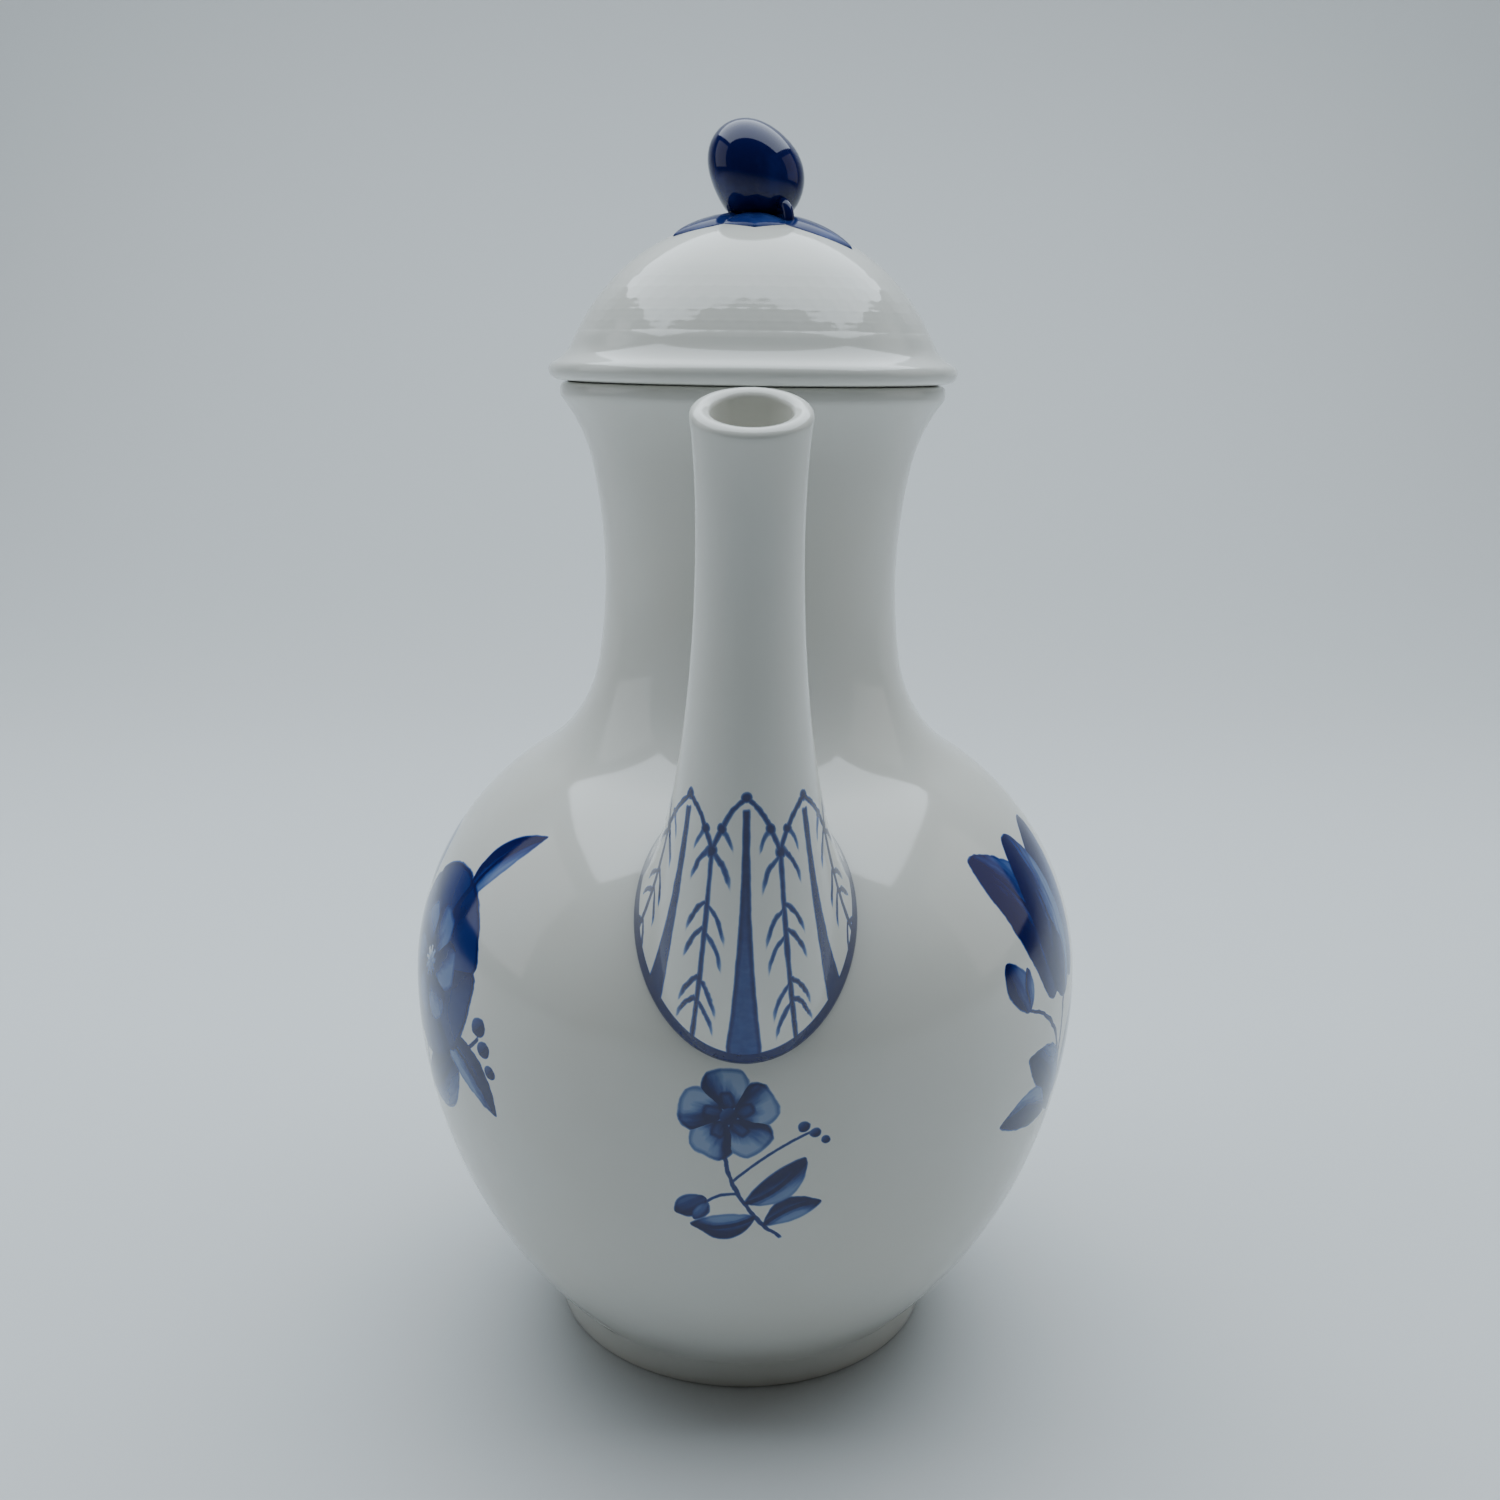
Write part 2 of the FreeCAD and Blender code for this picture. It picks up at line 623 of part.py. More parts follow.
def make_handle(envelope):
    """The cast handle: an oval bar along its path, trimmed where it meets the neck and the belly."""
    body = make_body("handle_bar")
    path = handle_path(body)
    sketch = make_sketch(body, "handle_section", "XY_Plane")
    ellipse = Part.Ellipse(V(value("handle_width") / 2, 0, 0), V(0, value("handle_depth") / 2, 0), V(0, 0, 0))
    sketch.addGeometry(ellipse, False)
    sketch.exposeInternalGeometry(0)
    sketch.addConstraint(Sketcher.Constraint("Coincident", 0, 3, -1, 1))
    sketch.addConstraint(Sketcher.Constraint("Horizontal", 1))
    for axis, cell in ((1, "handle_width"), (2, "handle_depth")):
        index = sketch.addConstraint(Sketcher.Constraint("Distance", axis, value(cell)))
        sketch.setExpression("Constraints[%d]" % index, "sizes." + cell)
    place_sketch(sketch, "sizes.waist_radius - sizes.pot_wall",
                 "worked.rim_height - sizes.handle_start_drop", "sizes.handle_rise - 90")
    doc.recompute()
    pipe = body.newObject("PartDesign::AdditivePipe", "handle_sweep")
    pipe.Profile = sketch
    pipe.Spine = (path, [""])
    doc.recompute()
    return cut("handle", body, envelope)


def make_cast_lid():
    """The cast lid: dome, cove and rolled brim outside, a flange that hangs in the neck below."""
    body = make_body("cast_lid")
    outline = Outline(body, "lid_outline")
    rim = value("rim_height")
    dome = value("dome_radius")
    wall = value("lid_wall")
    centre = (0.0, value("dome_centre"))
    apex = (0.0, rim + value("lid_rise"))
    roll = value("brim_round")
    under = rim + value("brim_lift")
    roll_centre = (value("brim_radius") - roll, value("roll_height"))
    cove = value("cove_arc")
    gap = hypot(roll_centre[0], roll_centre[1] - centre[1])
    along = ((dome + cove) ** 2 - (cove + roll) ** 2 + gap ** 2) / (2 * gap)
    aside = sqrt((dome + cove) ** 2 - along ** 2)
    facing = (roll_centre[0] / gap, (roll_centre[1] - centre[1]) / gap)
    cove_centre = (along * facing[0] - aside * facing[1],
                   centre[1] + along * facing[1] + aside * facing[0])
    spring = toward(centre, cove_centre, dome)
    brow = toward(cove_centre, roll_centre, cove)
    roll_foot = (roll_centre[0], under)
    seat = value("rim_radius") - value("seat_inset")
    seat_top = (seat + value("brim_lift"), under)
    seat_edge = (seat, rim)
    flange = value("flange_radius")
    low = rim - value("flange_depth")
    inner = flange - value("flange_wall")
    step = (inner, rim + value("flange_step"))
    ceiling = on_circle(centre, dome - wall, rim + value("dome_spring"), 1)

    crown = outline.arc(centre, apex, spring, clockwise=True)
    hollow = outline.arc(cove_centre, spring, brow, smooth=True)
    brim = outline.arc(roll_centre, brow, roll_foot, clockwise=True, smooth=True)
    overhang = outline.line(roll_foot, seat_top, smooth=True)
    drip = outline.line(seat_top, seat_edge)
    ledge = outline.line(seat_edge, (flange, rim))
    outside = outline.line((flange, rim), (flange, low))
    tip = outline.line((flange, low), (inner, low))
    inside = outline.line((inner, low), step)
    shelf = outline.line(step, ceiling)
    vault = outline.arc(centre, ceiling, (0.0, apex[1] - wall))
    axis = outline.line((0.0, apex[1] - wall), apex)
    outline.close()

    for piece in (crown, vault):
        outline.rule("PointOnObject", piece, 3, -2)
    outline.rule("PointOnObject", *outline.start(crown), -2)
    outline.radius(crown, "sizes.dome_radius", dome)
    outline.above((crown, 3), "worked.dome_centre", centre[1])
    outline.above((vault, 3), "worked.dome_centre", centre[1])
    outline.radius(vault, "sizes.dome_radius - sizes.lid_wall", dome - wall)
    outline.radius(hollow, "sizes.cove_arc", cove)
    outline.radius(brim, "sizes.brim_round", roll)
    outline.across((brim, 3), "worked.brim_radius - sizes.brim_round", roll_centre[0])
    outline.above((brim, 3), "worked.roll_height", roll_centre[1])
    outline.level(overhang)
    seat_cell = "worked.rim_radius - sizes.seat_inset"
    outline.across(outline.end(overhang), seat_cell + " + sizes.brim_lift", seat_top[0])
    outline.across(outline.end(drip), seat_cell, seat)
    outline.above(outline.end(drip), "worked.rim_height", rim)
    outline.level(ledge)
    outline.upright(outside)
    outline.across(outline.end(ledge), "worked.flange_radius", flange)
    outline.above(outline.end(outside), "worked.flange_low", low)
    outline.level(tip)
    outline.across(outline.end(tip), "worked.flange_radius - sizes.flange_wall", inner)
    outline.upright(inside)
    outline.above(outline.end(inside), "worked.rim_height + sizes.flange_step", step[1])
    outline.above(outline.end(shelf), "worked.vault_foot", ceiling[1])
    outline.rule("PointOnObject", *outline.start(axis), -2)
    revolve(body, outline, "lid_shell")

    vent = circle_sketch(body, "vent_circle", "0", "sizes.vent_hole")
    place_sketch(vent, "sizes.vent_reach", "worked.rim_height", "0")
    bore(body, vent, "vent", "sizes.lid_rise + %g" % OVERCUT)
    return body


def make_ball(name, radius, height):
    """A ball on the pot's axis."""
    ball = doc.addObject("Part::Sphere", name)
    ball.setExpression("Radius", radius)
    ball.setExpression("Placement.Base.z", height)
    return ball


def make_knob(dome):
    """The bud: an egg that leans to -X, seated on the dome."""
    egg = doc.addObject("Part::Ellipsoid", "bud_egg")
    egg.setExpression("Radius1", "sizes.bud_length")
    egg.setExpression("Radius2", "sizes.bud_width")
    egg.setExpression("Radius3", "sizes.bud_depth")
    egg.Placement = FreeCAD.Placement(V(0, 0, 0), FreeCAD.Rotation(V(0, -1, 0), value("bud_lean")))
    egg.setExpression("Placement.Base.z", "worked.bud_centre")
    egg.setExpression("Placement.Rotation.Angle", "sizes.bud_lean")
    return egg, cut("knob", egg, dome)


def make_knob_stalk(egg, dome):
    """The stalk: the part of a small ring that stands out between the bud and the dome."""
    ring = doc.addObject("Part::Torus", "stalk_ring")
    ring.setExpression("Radius1", "sizes.stalk_arc")
    ring.setExpression("Radius2", "sizes.stalk_thickness / 2")
    turn = FreeCAD.Rotation(V(0, 0, 1), -value("stalk_turn"))
    upright = FreeCAD.Rotation(V(1, 0, 0), 90)
    ring.Placement = FreeCAD.Placement(V(0, 0, 0), turn.multiply(upright))
    ring.setExpression("Placement.Base.x", "sizes.stalk_reach * cos(sizes.stalk_turn * 1deg)")
    ring.setExpression("Placement.Base.y", "-sizes.stalk_reach * sin(sizes.stalk_turn * 1deg)")
    height = "worked.dome_centre + sqrt(sizes.dome_radius ^ 2 - sizes.stalk_reach ^ 2)"
    ring.setExpression("Placement.Base.z", height)
    seat = doc.addObject("Part::Fuse", "stalk_seat")
    seat.Base = egg
    seat.Tool = dome
    return cut("knob_stalk", ring, seat)


def make_lid_leaves(dome):
    """Thin pointed leaves laid on the dome, evenly round the bud."""
    body = make_body("leaf_prisms")
    body.AllowCompound = True
    outline = Outline(body, "leaf_outline", "XY_Plane")
    root = (value("leaf_root"), 0.0)
    tip = (value("leaf_tip"), 0.0)
    length = tip[0] - root[0]
    width = value("leaf_width")
    bow = (length ** 2 + width ** 2) / (4 * width)
    middle = (root[0] + tip[0]) / 2
    sag = bow - width / 2
    low_side = outline.arc((middle, sag), root, tip)
    high_side = outline.arc((middle, -sag), tip, root)
    outline.close()
    outline.across(outline.start(low_side), "sizes.leaf_root", root[0])
    outline.across(outline.end(low_side), "sizes.leaf_tip", tip[0])
    for side in (low_side, high_side):
        outline.radius(side, "((sizes.leaf_tip - sizes.leaf_root) ^ 2 + sizes.leaf_width ^ 2)"
                             " / (4 * sizes.leaf_width)", bow)
    outline.rule("PointOnObject", *outline.start(low_side), -1)
    outline.rule("PointOnObject", *outline.end(low_side), -1)
    outline.sketch.setExpression("AttachmentOffset.Base.z", "worked.rim_height")
    outline.sketch.setExpression("AttachmentOffset.Rotation.Angle", "-90")
    doc.recompute()
    prism = body.newObject("PartDesign::Pad", "leaf_prism")
    prism.Profile = outline.sketch
    prism.setExpression("Length", "sizes.lid_rise + sizes.bud_length")
    doc.recompute()
    spread = body.newObject("PartDesign::PolarPattern", "leaf_pattern")
    spread.Originals = [prism]
    spread.Axis = (origin_part(body, "Z_Axis"), [""])
    spread.Angle = 360
    spread.setExpression("Occurrences", "sizes.leaf_count")
    body.Tip = spread
    doc.recompute()
    skin = make_ball("leaf_skin", "sizes.dome_radius + sizes.leaf_thickness", "worked.dome_centre")
    leaves = doc.addObject("Part::Common", "lid_leaves")
    leaves.Base = cut("leaf_layer", skin, dome)
    leaves.Tool = body
    return leaves


def check_document():
    """Stop if any object of the document failed."""
    for item in doc.Objects:
        if {"Invalid", "Error"} & set(item.State):
            raise RuntimeError("%s failed: %s" % (item.Label, item.State))


def write_parts(nodes):
    """Check each sub-part's solid and write it under its own name."""
    for node in nodes:
        shape = node.Shape
        if shape.isNull() or not shape.isValid() or not shape.Solids:
            raise RuntimeError(node.Label + " has no valid solid")
    os.makedirs("parts", exist_ok=True)
    for node in nodes:
        node.Shape.exportStep("parts/%s.step" % node.Label)
        print("%s: %d solids, %.1f mm3" % (node.Label, len(node.Shape.Solids), node.Shape.Volume))


envelope = make_pot_envelope()
cast_pot = make_cast_pot()
# The pot is cast in one piece. Level cuts at its widest line and where its shoulder turns into the neck
# make three simple nodes of it, so that the hollow inside them stays open.
pot_bowl = make_slice("pot_bowl", cast_pot, "0", "sizes.belly_height")
pot_shoulder = make_slice("pot_shoulder", cast_pot, "sizes.belly_height", "worked.shoulder_top")
pot_neck = make_slice("pot_neck", cast_pot, "worked.shoulder_top", "worked.rim_height")
spout = make_spout(envelope)
handle = make_handle(envelope)
cast_lid = make_cast_lid()
# The lid is one casting too, cut level where its vault springs.
lid_brim = make_slice("lid_brim", cast_lid, "worked.flange_low", "worked.vault_foot")
lid = make_slice("lid", cast_lid, "worked.vault_foot", "worked.lid_top")
dome = make_ball("dome_ball", "sizes.dome_radius", "worked.dome_centre")
egg, knob = make_knob(dome)
knob_stalk = make_knob_stalk(egg, dome)
lid_leaves = make_lid_leaves(dome)
doc.recompute()
check_document()
pot_nodes = [pot_bowl, pot_shoulder, pot_neck, spout, handle]
lid_nodes = [lid, lid_brim, knob, knob_stalk, lid_leaves]
write_parts(pot_nodes + lid_nodes)
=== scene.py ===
from math import atan2, cos, hypot, pi, radians, sin, sqrt

import bpy
import numpy as np
from mathutils import Matrix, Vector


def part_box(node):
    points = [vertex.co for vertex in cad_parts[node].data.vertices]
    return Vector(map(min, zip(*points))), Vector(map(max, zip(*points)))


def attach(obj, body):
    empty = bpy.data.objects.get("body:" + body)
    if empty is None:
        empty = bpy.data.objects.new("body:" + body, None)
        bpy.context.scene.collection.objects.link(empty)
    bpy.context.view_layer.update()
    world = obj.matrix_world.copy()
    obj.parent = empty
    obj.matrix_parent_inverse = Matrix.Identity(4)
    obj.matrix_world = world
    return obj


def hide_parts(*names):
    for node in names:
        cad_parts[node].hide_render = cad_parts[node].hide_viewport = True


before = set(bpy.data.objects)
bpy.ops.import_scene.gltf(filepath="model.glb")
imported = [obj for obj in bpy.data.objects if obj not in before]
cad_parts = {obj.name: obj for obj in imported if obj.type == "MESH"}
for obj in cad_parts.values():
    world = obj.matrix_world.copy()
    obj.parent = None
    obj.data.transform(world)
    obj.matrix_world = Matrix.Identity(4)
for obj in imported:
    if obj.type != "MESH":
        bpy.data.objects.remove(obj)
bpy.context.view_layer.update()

# A tall white porcelain coffee pot with cobalt painting under its glaze.
# Lengths are in millimetres, and every mesh is written in metres. Radii are from the pot's axis.
MM = 0.001


def corner(node, high):
    """A node's lowest or highest corner in millimetres."""
    return np.array(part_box(node)[1 if high else 0]) / MM


# Outline of the cast pot
RIM_HEIGHT = corner("pot_neck", True)[2]
BELLY_RADIUS = corner("pot_shoulder", True)[0]
BELLY_HEIGHT = 74.8
FOOT_RADIUS = 39.4
FOOT_SPREAD = 0.6
FOOT_WIDTH = 4.0
FOOT_HEIGHT = 6.0
FOOT_BARE = 0.25
BASE_RECESS = 3.5
FLOOR_HEIGHT = 8.5
POT_WALL = 3.0
WAIST_RADIUS = 28.2
WAIST_HEIGHT = RIM_HEIGHT - 34.9
THROAT_HEIGHT = RIM_HEIGHT - 51.8
THROAT_ARC = 27.5
NECK_ARC = 104.0
LIP_HEIGHT = RIM_HEIGHT - 14.0
RIM_RADIUS = 36.2
RIM_BAND = 1.6
RIM_LAND = 3.6
RIM_LIP = 1.0
RIM_TOP = RIM_HEIGHT + RIM_LIP
# Spout
ROOT_RISE = 32.2
ROOT_INSET = 10.0
ROOT_PULL = 35.0
ROOT_WIDTH = 43.0
ROOT_OVAL = 10.0
ROOT_TAPER = 2.6
TUBE_WIDTH = 14.7
TUBE_OVAL = 0.4
MOUTH_WIDTH = 17.3
MOUTH_FLARE = 8
MOUTH_REACH = BELLY_RADIUS + 17.1
MOUTH_HEIGHT = RIM_HEIGHT - 0.5
MOUTH_LEAN = radians(20.0)
MOUTH_PULL = 30.0
SPOUT_WALL = 2.4
LIP_WALL = 2.9
LIP_CROWN = 0.75
ROOT_STEP = 0.7
STEP_CURVE = (1.6, 1.0, 0.5, 0.18)
ROOT_LIMIT = 0.6
ROOT_CROWD = 1.15
HALVINGS = 40
# Handle
HANDLE_WIDTH = 13.0
HANDLE_DEPTH = 9.0
HANDLE_START = (WAIST_RADIUS - POT_WALL, RIM_HEIGHT - 25.0)
HANDLE_RISE = radians(25.0)
HANDLE_TOP_ARC = 24.0
HANDLE_BACK_ARC = 78.0
HANDLE_REACH = BELLY_RADIUS + 6.6
HANDLE_BULGE = BELLY_HEIGHT + 65.2
HANDLE_TAIL_TURN = radians(30.0)
HANDLE_TAIL_RUN = 24.0
HANDLE_SWELL = 0.16
HANDLE_SWELL_RUN = 7.0
HANDLE_FILLET = 0.34
HANDLE_FILLET_RUN = 1.5
HANDLE_SINK = 0.8 * POT_WALL
# Lid and its bud
LID_TOP = corner("lid", True)[2]
DOME_RADIUS = 36.8
DOME_CENTRE = LID_TOP - DOME_RADIUS
LID_WALL = 3.0
COVE_ARC = 6.3
BRIM_RADIUS = RIM_RADIUS + 2.1
BRIM_ROUND = 1.8
BRIM_LIFT = 1.25
SEAT_RADIUS = 35.0
FLANGE_RADIUS = 26.9
FLANGE_WALL = 3.0
FLANGE_DEPTH = 11.0
FLANGE_STEP = 2.5
DOME_SPRING = 7.5
BUD_RADIUS = 9.0
BUD_STRETCH = 0.85
BUD_LEAN = radians(35.0)
BUD_CENTRE = LID_TOP + 7.7
BUD_FLAT = 0.19
BUD_FULL = 0.15
VENT_WIDTH = 3.0
VENT_REACH = 18.0
LEAF_ROOT = 5.2
LEAF_TIPS = (13.6, 20.0, 17.5, 17.5, 16.6)
LEAF_TURNS = (-90.0, -29.0, 48.0, 130.0, 208.0)
LEAF_WIDTH = 12.5
LEAF_CROWN = 1.1
LEAF_BLUNT = 0.22
LEAF_FULLNESS = 0.85
LEAF_EDGE = 0.02
LEAF_SINK = 0.3
GROOVE_DEPTH = 0.16
GROOVE_WIDTH = 0.12
# How far the melted glaze rounds every corner of a profile, the spacing of points for that, and how much
# closer they stand in the end where the profile bends
GLAZE = 0.4
FINE_STEP = 0.08
BEND_CROWD = 12.0


# Outlines

def arc(centre, start, end, clockwise=False, count=80):
    """Points on the circle round a centre, from one point to another."""
    first = atan2(start[1] - centre[1], start[0] - centre[0])
    last = atan2(end[1] - centre[1], end[0] - centre[0])
    turn = -((first - last) % (2 * pi)) if clockwise else (last - first) % (2 * pi)
    angle = first + turn * np.linspace(0.0, 1.0, count)
    radius = hypot(start[0] - centre[0], start[1] - centre[1])
    return np.stack([centre[0] + radius * np.cos(angle), centre[1] + radius * np.sin(angle)], 1)


def toward(start, end, distance):
    """The point at a distance from one point in the direction of another."""
    share = distance / hypot(end[0] - start[0], end[1] - start[1])
    return (start[0] + share * (end[0] - start[0]), start[1] + share * (end[1] - start[1]))


def run_on(point, centre, end):
    """Centre of the circle that goes on smoothly from a point of one circle to an end point."""
    spoke = np.subtract(toward(point, centre, 1.0), point)
    chord = np.subtract(end, point)
    return tuple(np.add(point, spoke * chord.dot(chord) / (2 * chord.dot(spoke))))


def chain(*pieces):
    """One run of points from several, each piece an array of points or a single point."""
    return np.concatenate([np.atleast_2d(piece) for piece in pieces])


def lengths(points):
    """Length along a run of points, from 0 at its start."""
    return np.concatenate([[0.0], np.cumsum(np.linalg.norm(np.diff(points, axis=0), axis=1))])


def resample(points, where):
    """Points at given lengths along a run."""
    along = lengths(points)
    return np.stack([np.interp(where, along, column) for column in points.T], 1)


def soften(profile, count):
    """A profile from axis to axis as the glaze rounds it: each point becomes the weighted mean of its
    neighbours, and the points are then spaced closer where the line bends."""
    fine = resample(profile, np.arange(0.0, lengths(profile)[-1], FINE_STEP))
    fine = chain(fine, profile[-1])
    reach = int(4 * GLAZE / FINE_STEP)
    weight = np.exp(-0.5 * (np.arange(-reach, reach + 1) * FINE_STEP / GLAZE) ** 2)
    weight /= weight.sum()
    mirror = np.array([-1.0, 1.0])
    padded = chain(fine[reach:0:-1] * mirror, fine, fine[-2:-reach - 2:-1] * mirror)
    smooth = np.stack([np.convolve(column, weight, "valid") for column in padded.T], 1)
    smooth[[0, -1], 0] = 0.0
    along = lengths(smooth)
    heading = np.unwrap(np.arctan2(*np.gradient(smooth, axis=0).T[::-1]))
    bend = np.abs(np.gradient(heading)) / np.gradient(along)
    effort = np.concatenate([[0.0], np.cumsum((1.0 + BEND_CROWD * np.sqrt(bend))[1:] * np.diff(along))])
    return resample(smooth, np.interp(np.linspace(0.0, effort[-1], count), effort, along))


class Wall:
    """Corner points of one face of the pot's wall, set in from the outside by a distance. The face is five
    arcs, belly, shoulder, throat, neck and lip, and each runs on smoothly from the one before."""

    def __init__(self, inset):
        foot = (FOOT_RADIUS + FOOT_SPREAD, FOOT_HEIGHT)
        run = BELLY_RADIUS - foot[0]
        belly_arc = ((BELLY_HEIGHT - FOOT_HEIGHT) ** 2 + run ** 2) / (2 * run)
        share = (NECK_ARC - THROAT_ARC) / NECK_ARC
        drop = THROAT_HEIGHT - WAIST_HEIGHT
        self.neck_centre = (WAIST_RADIUS + NECK_ARC, WAIST_HEIGHT)
        self.throat_centre = (self.neck_centre[0] - share * sqrt(NECK_ARC ** 2 - drop ** 2),
                              WAIST_HEIGHT + share * drop)
        inward = self.throat_centre[0] - BELLY_RADIUS
        up = self.throat_centre[1] - BELLY_HEIGHT
        self.shoulder_arc = (inward ** 2 + up ** 2 - THROAT_ARC ** 2) / (2 * (THROAT_ARC - inward))
        self.shoulder_centre = (BELLY_RADIUS - self.shoulder_arc, BELLY_HEIGHT)
        self.belly_centre = (BELLY_RADIUS - belly_arc, BELLY_HEIGHT)
        self.foot = foot
        reach = belly_arc - inset
        depth = BELLY_HEIGHT - FLOOR_HEIGHT
        self.floor = (self.belly_centre[0] + sqrt(reach ** 2 - depth ** 2), FLOOR_HEIGHT)
        self.belly = (BELLY_RADIUS - inset, BELLY_HEIGHT)
        self.shoulder = toward(self.shoulder_centre, self.throat_centre, self.shoulder_arc - inset)
        neck = NECK_ARC + inset
        self.throat = toward(self.neck_centre, self.throat_centre, neck)
        self.lip = (self.neck_centre[0] - sqrt(neck ** 2 - (LIP_HEIGHT - WAIST_HEIGHT) ** 2), LIP_HEIGHT)

    def outside(self, edge):
        """The face from foot to rim."""
        return chain(
            arc(self.belly_centre, self.foot, self.belly),
            arc(self.shoulder_centre, self.belly, self.shoulder)[1:],
            arc(self.throat_centre, self.shoulder, self.throat, clockwise=True)[1:],
            arc(self.neck_centre, self.throat, self.lip, clockwise=True)[1:],
            arc(run_on(self.lip, self.neck_centre, edge), self.lip, edge, clockwise=True)[1:])

    def inside(self, edge):
        """The face from rim to floor."""
        return chain(
            arc(run_on(self.lip, self.neck_centre, edge), edge, self.lip),
            arc(self.neck_centre, self.lip, self.throat)[1:],
            arc(self.throat_centre, self.throat, self.shoulder)[1:],
            arc(self.shoulder_centre, self.shoulder, self.belly, clockwise=True)[1:],
            arc(self.belly_centre, self.belly, self.floor, clockwise=True)[1:])


OUTER_WALL = Wall(0.0).outside((RIM_RADIUS, RIM_HEIGHT - RIM_BAND))


def wall_radius(height):
    """The pot's outer radius at a height."""
    return np.interp(height, OUTER_WALL[:, 1], OUTER_WALL[:, 0])


def pot_profile():
    """The pot from the middle of its recessed base, up the outside, over the round rim, down to its floor."""
    ring = FOOT_RADIUS - FOOT_WIDTH
    land = RIM_RADIUS - RIM_LIP
    return chain(
        (0.0, BASE_RECESS), (ring, BASE_RECESS), (ring, 0.0), (FOOT_RADIUS, 0.0),
        OUTER_WALL,
        arc((land, RIM_HEIGHT), (RIM_RADIUS, RIM_HEIGHT), (land, RIM_TOP)),
        Wall(POT_WALL).inside((RIM_RADIUS - RIM_LAND, RIM_TOP)),
        (0.0, FLOOR_HEIGHT))


def lid_profile():
    """The lid from the top of its dome, over cove and brim, under the seat, round the flange to the vault."""
    centre = (0.0, DOME_CENTRE)
    under = RIM_HEIGHT + BRIM_LIFT
    roll_centre = (BRIM_RADIUS - BRIM_ROUND, under + BRIM_ROUND)
    gap = hypot(roll_centre[0], roll_centre[1] - DOME_CENTRE)
    far = DOME_RADIUS + COVE_ARC
    along = (far ** 2 - (COVE_ARC + BRIM_ROUND) ** 2 + gap ** 2) / (2 * gap)
    aside = sqrt(far ** 2 - along ** 2)
    facing = (roll_centre[0] / gap, (roll_centre[1] - DOME_CENTRE) / gap)
    cove_centre = (along * facing[0] - aside * facing[1],
                   DOME_CENTRE + along * facing[1] + aside * facing[0])
    spring = toward(centre, cove_centre, DOME_RADIUS)
    brow = toward(cove_centre, roll_centre, COVE_ARC)
    low = RIM_HEIGHT - FLANGE_DEPTH
    inner = FLANGE_RADIUS - FLANGE_WALL
    vault = DOME_RADIUS - LID_WALL
    springing = RIM_HEIGHT + DOME_SPRING
    ceiling = (sqrt(vault ** 2 - (springing - DOME_CENTRE) ** 2), springing)
    return chain(
        arc(centre, (0.0, LID_TOP), spring, clockwise=True),
        arc(cove_centre, spring, brow)[1:],
        arc(roll_centre, brow, (roll_centre[0], under), clockwise=True)[1:],
        (SEAT_RADIUS + under - RIM_TOP, under), (SEAT_RADIUS, RIM_TOP), (FLANGE_RADIUS, RIM_TOP),
        (FLANGE_RADIUS, low), (inner, low), (inner, RIM_HEIGHT + FLANGE_STEP),
        arc(centre, ceiling, (0.0, DOME_CENTRE + vault)))


# Meshes

def add_mesh(name, points, faces):
    """A finished object at the origin from points in millimetres and faces as arrays of corners."""
    mesh = bpy.data.meshes.new(name)
    loops = [np.asarray(block) for block in faces]
    corners = np.concatenate([block.ravel() for block in loops])
    sizes = np.concatenate([np.full(len(block), block.shape[1]) for block in loops])
    mesh.vertices.add(len(points))
    mesh.vertices.foreach_set("co", (np.asarray(points) * MM).astype(np.float32).ravel())
    mesh.loops.add(len(corners))
    mesh.loops.foreach_set("vertex_index", corners.astype(np.int32))
    mesh.polygons.add(len(sizes))
    mesh.polygons.foreach_set("loop_start", np.concatenate([[0], np.cumsum(sizes)[:-1]]).astype(np.int32))
    mesh.polygons.foreach_set("use_smooth", np.full(len(sizes), True))
    mesh.update(calc_edges=True)
    mesh.validate()
    piece = bpy.data.objects.new(name, mesh)
    bpy.context.scene.collection.objects.link(piece)
    return piece


def turns(count):
    """Angles of one full turn in equal steps."""
    return np.linspace(0.0, 2 * pi, count, endpoint=False)


def sheet_of_quads(rows, columns):
    """Quads between the points of an open grid."""
    row, column = np.meshgrid(np.arange(rows - 1), np.arange(columns - 1), indexing="ij")
    return (row * columns + column).reshape(-1, 1) + [0, 1, columns + 1, columns]


def rows_of_quads(rows, columns):
    """Quads between the rows of a grid whose columns close on themselves."""
    row, column = np.meshgrid(np.arange(rows - 1), np.arange(columns), indexing="ij")
    ahead = (column + 1) % columns
    quad = np.stack([row * columns + column, row * columns + ahead,
                     (row + 1) * columns + ahead, (row + 1) * columns + column], -1)
    return quad.reshape(-1, 4)


def fan(pole, ring, flip):
    """Triangles between a pole and a closed ring of corners."""
    ahead = np.roll(ring, -1)
    sides = (ahead, ring) if flip else (ring, ahead)
    return np.stack([np.full(len(ring), pole), *sides], 1)


def capped(rows, columns, flip=False):
    """Faces of a grid of closed rings with a pole beyond each end. The poles come after the grid's points."""
    quads = rows_of_quads(rows, columns)
    ring = np.arange(columns)
    pole = rows * columns
    return [quads[:, ::-1] if flip else quads, fan(pole, ring, not flip),
            fan(pole + 1, ring + pole - columns, flip)]


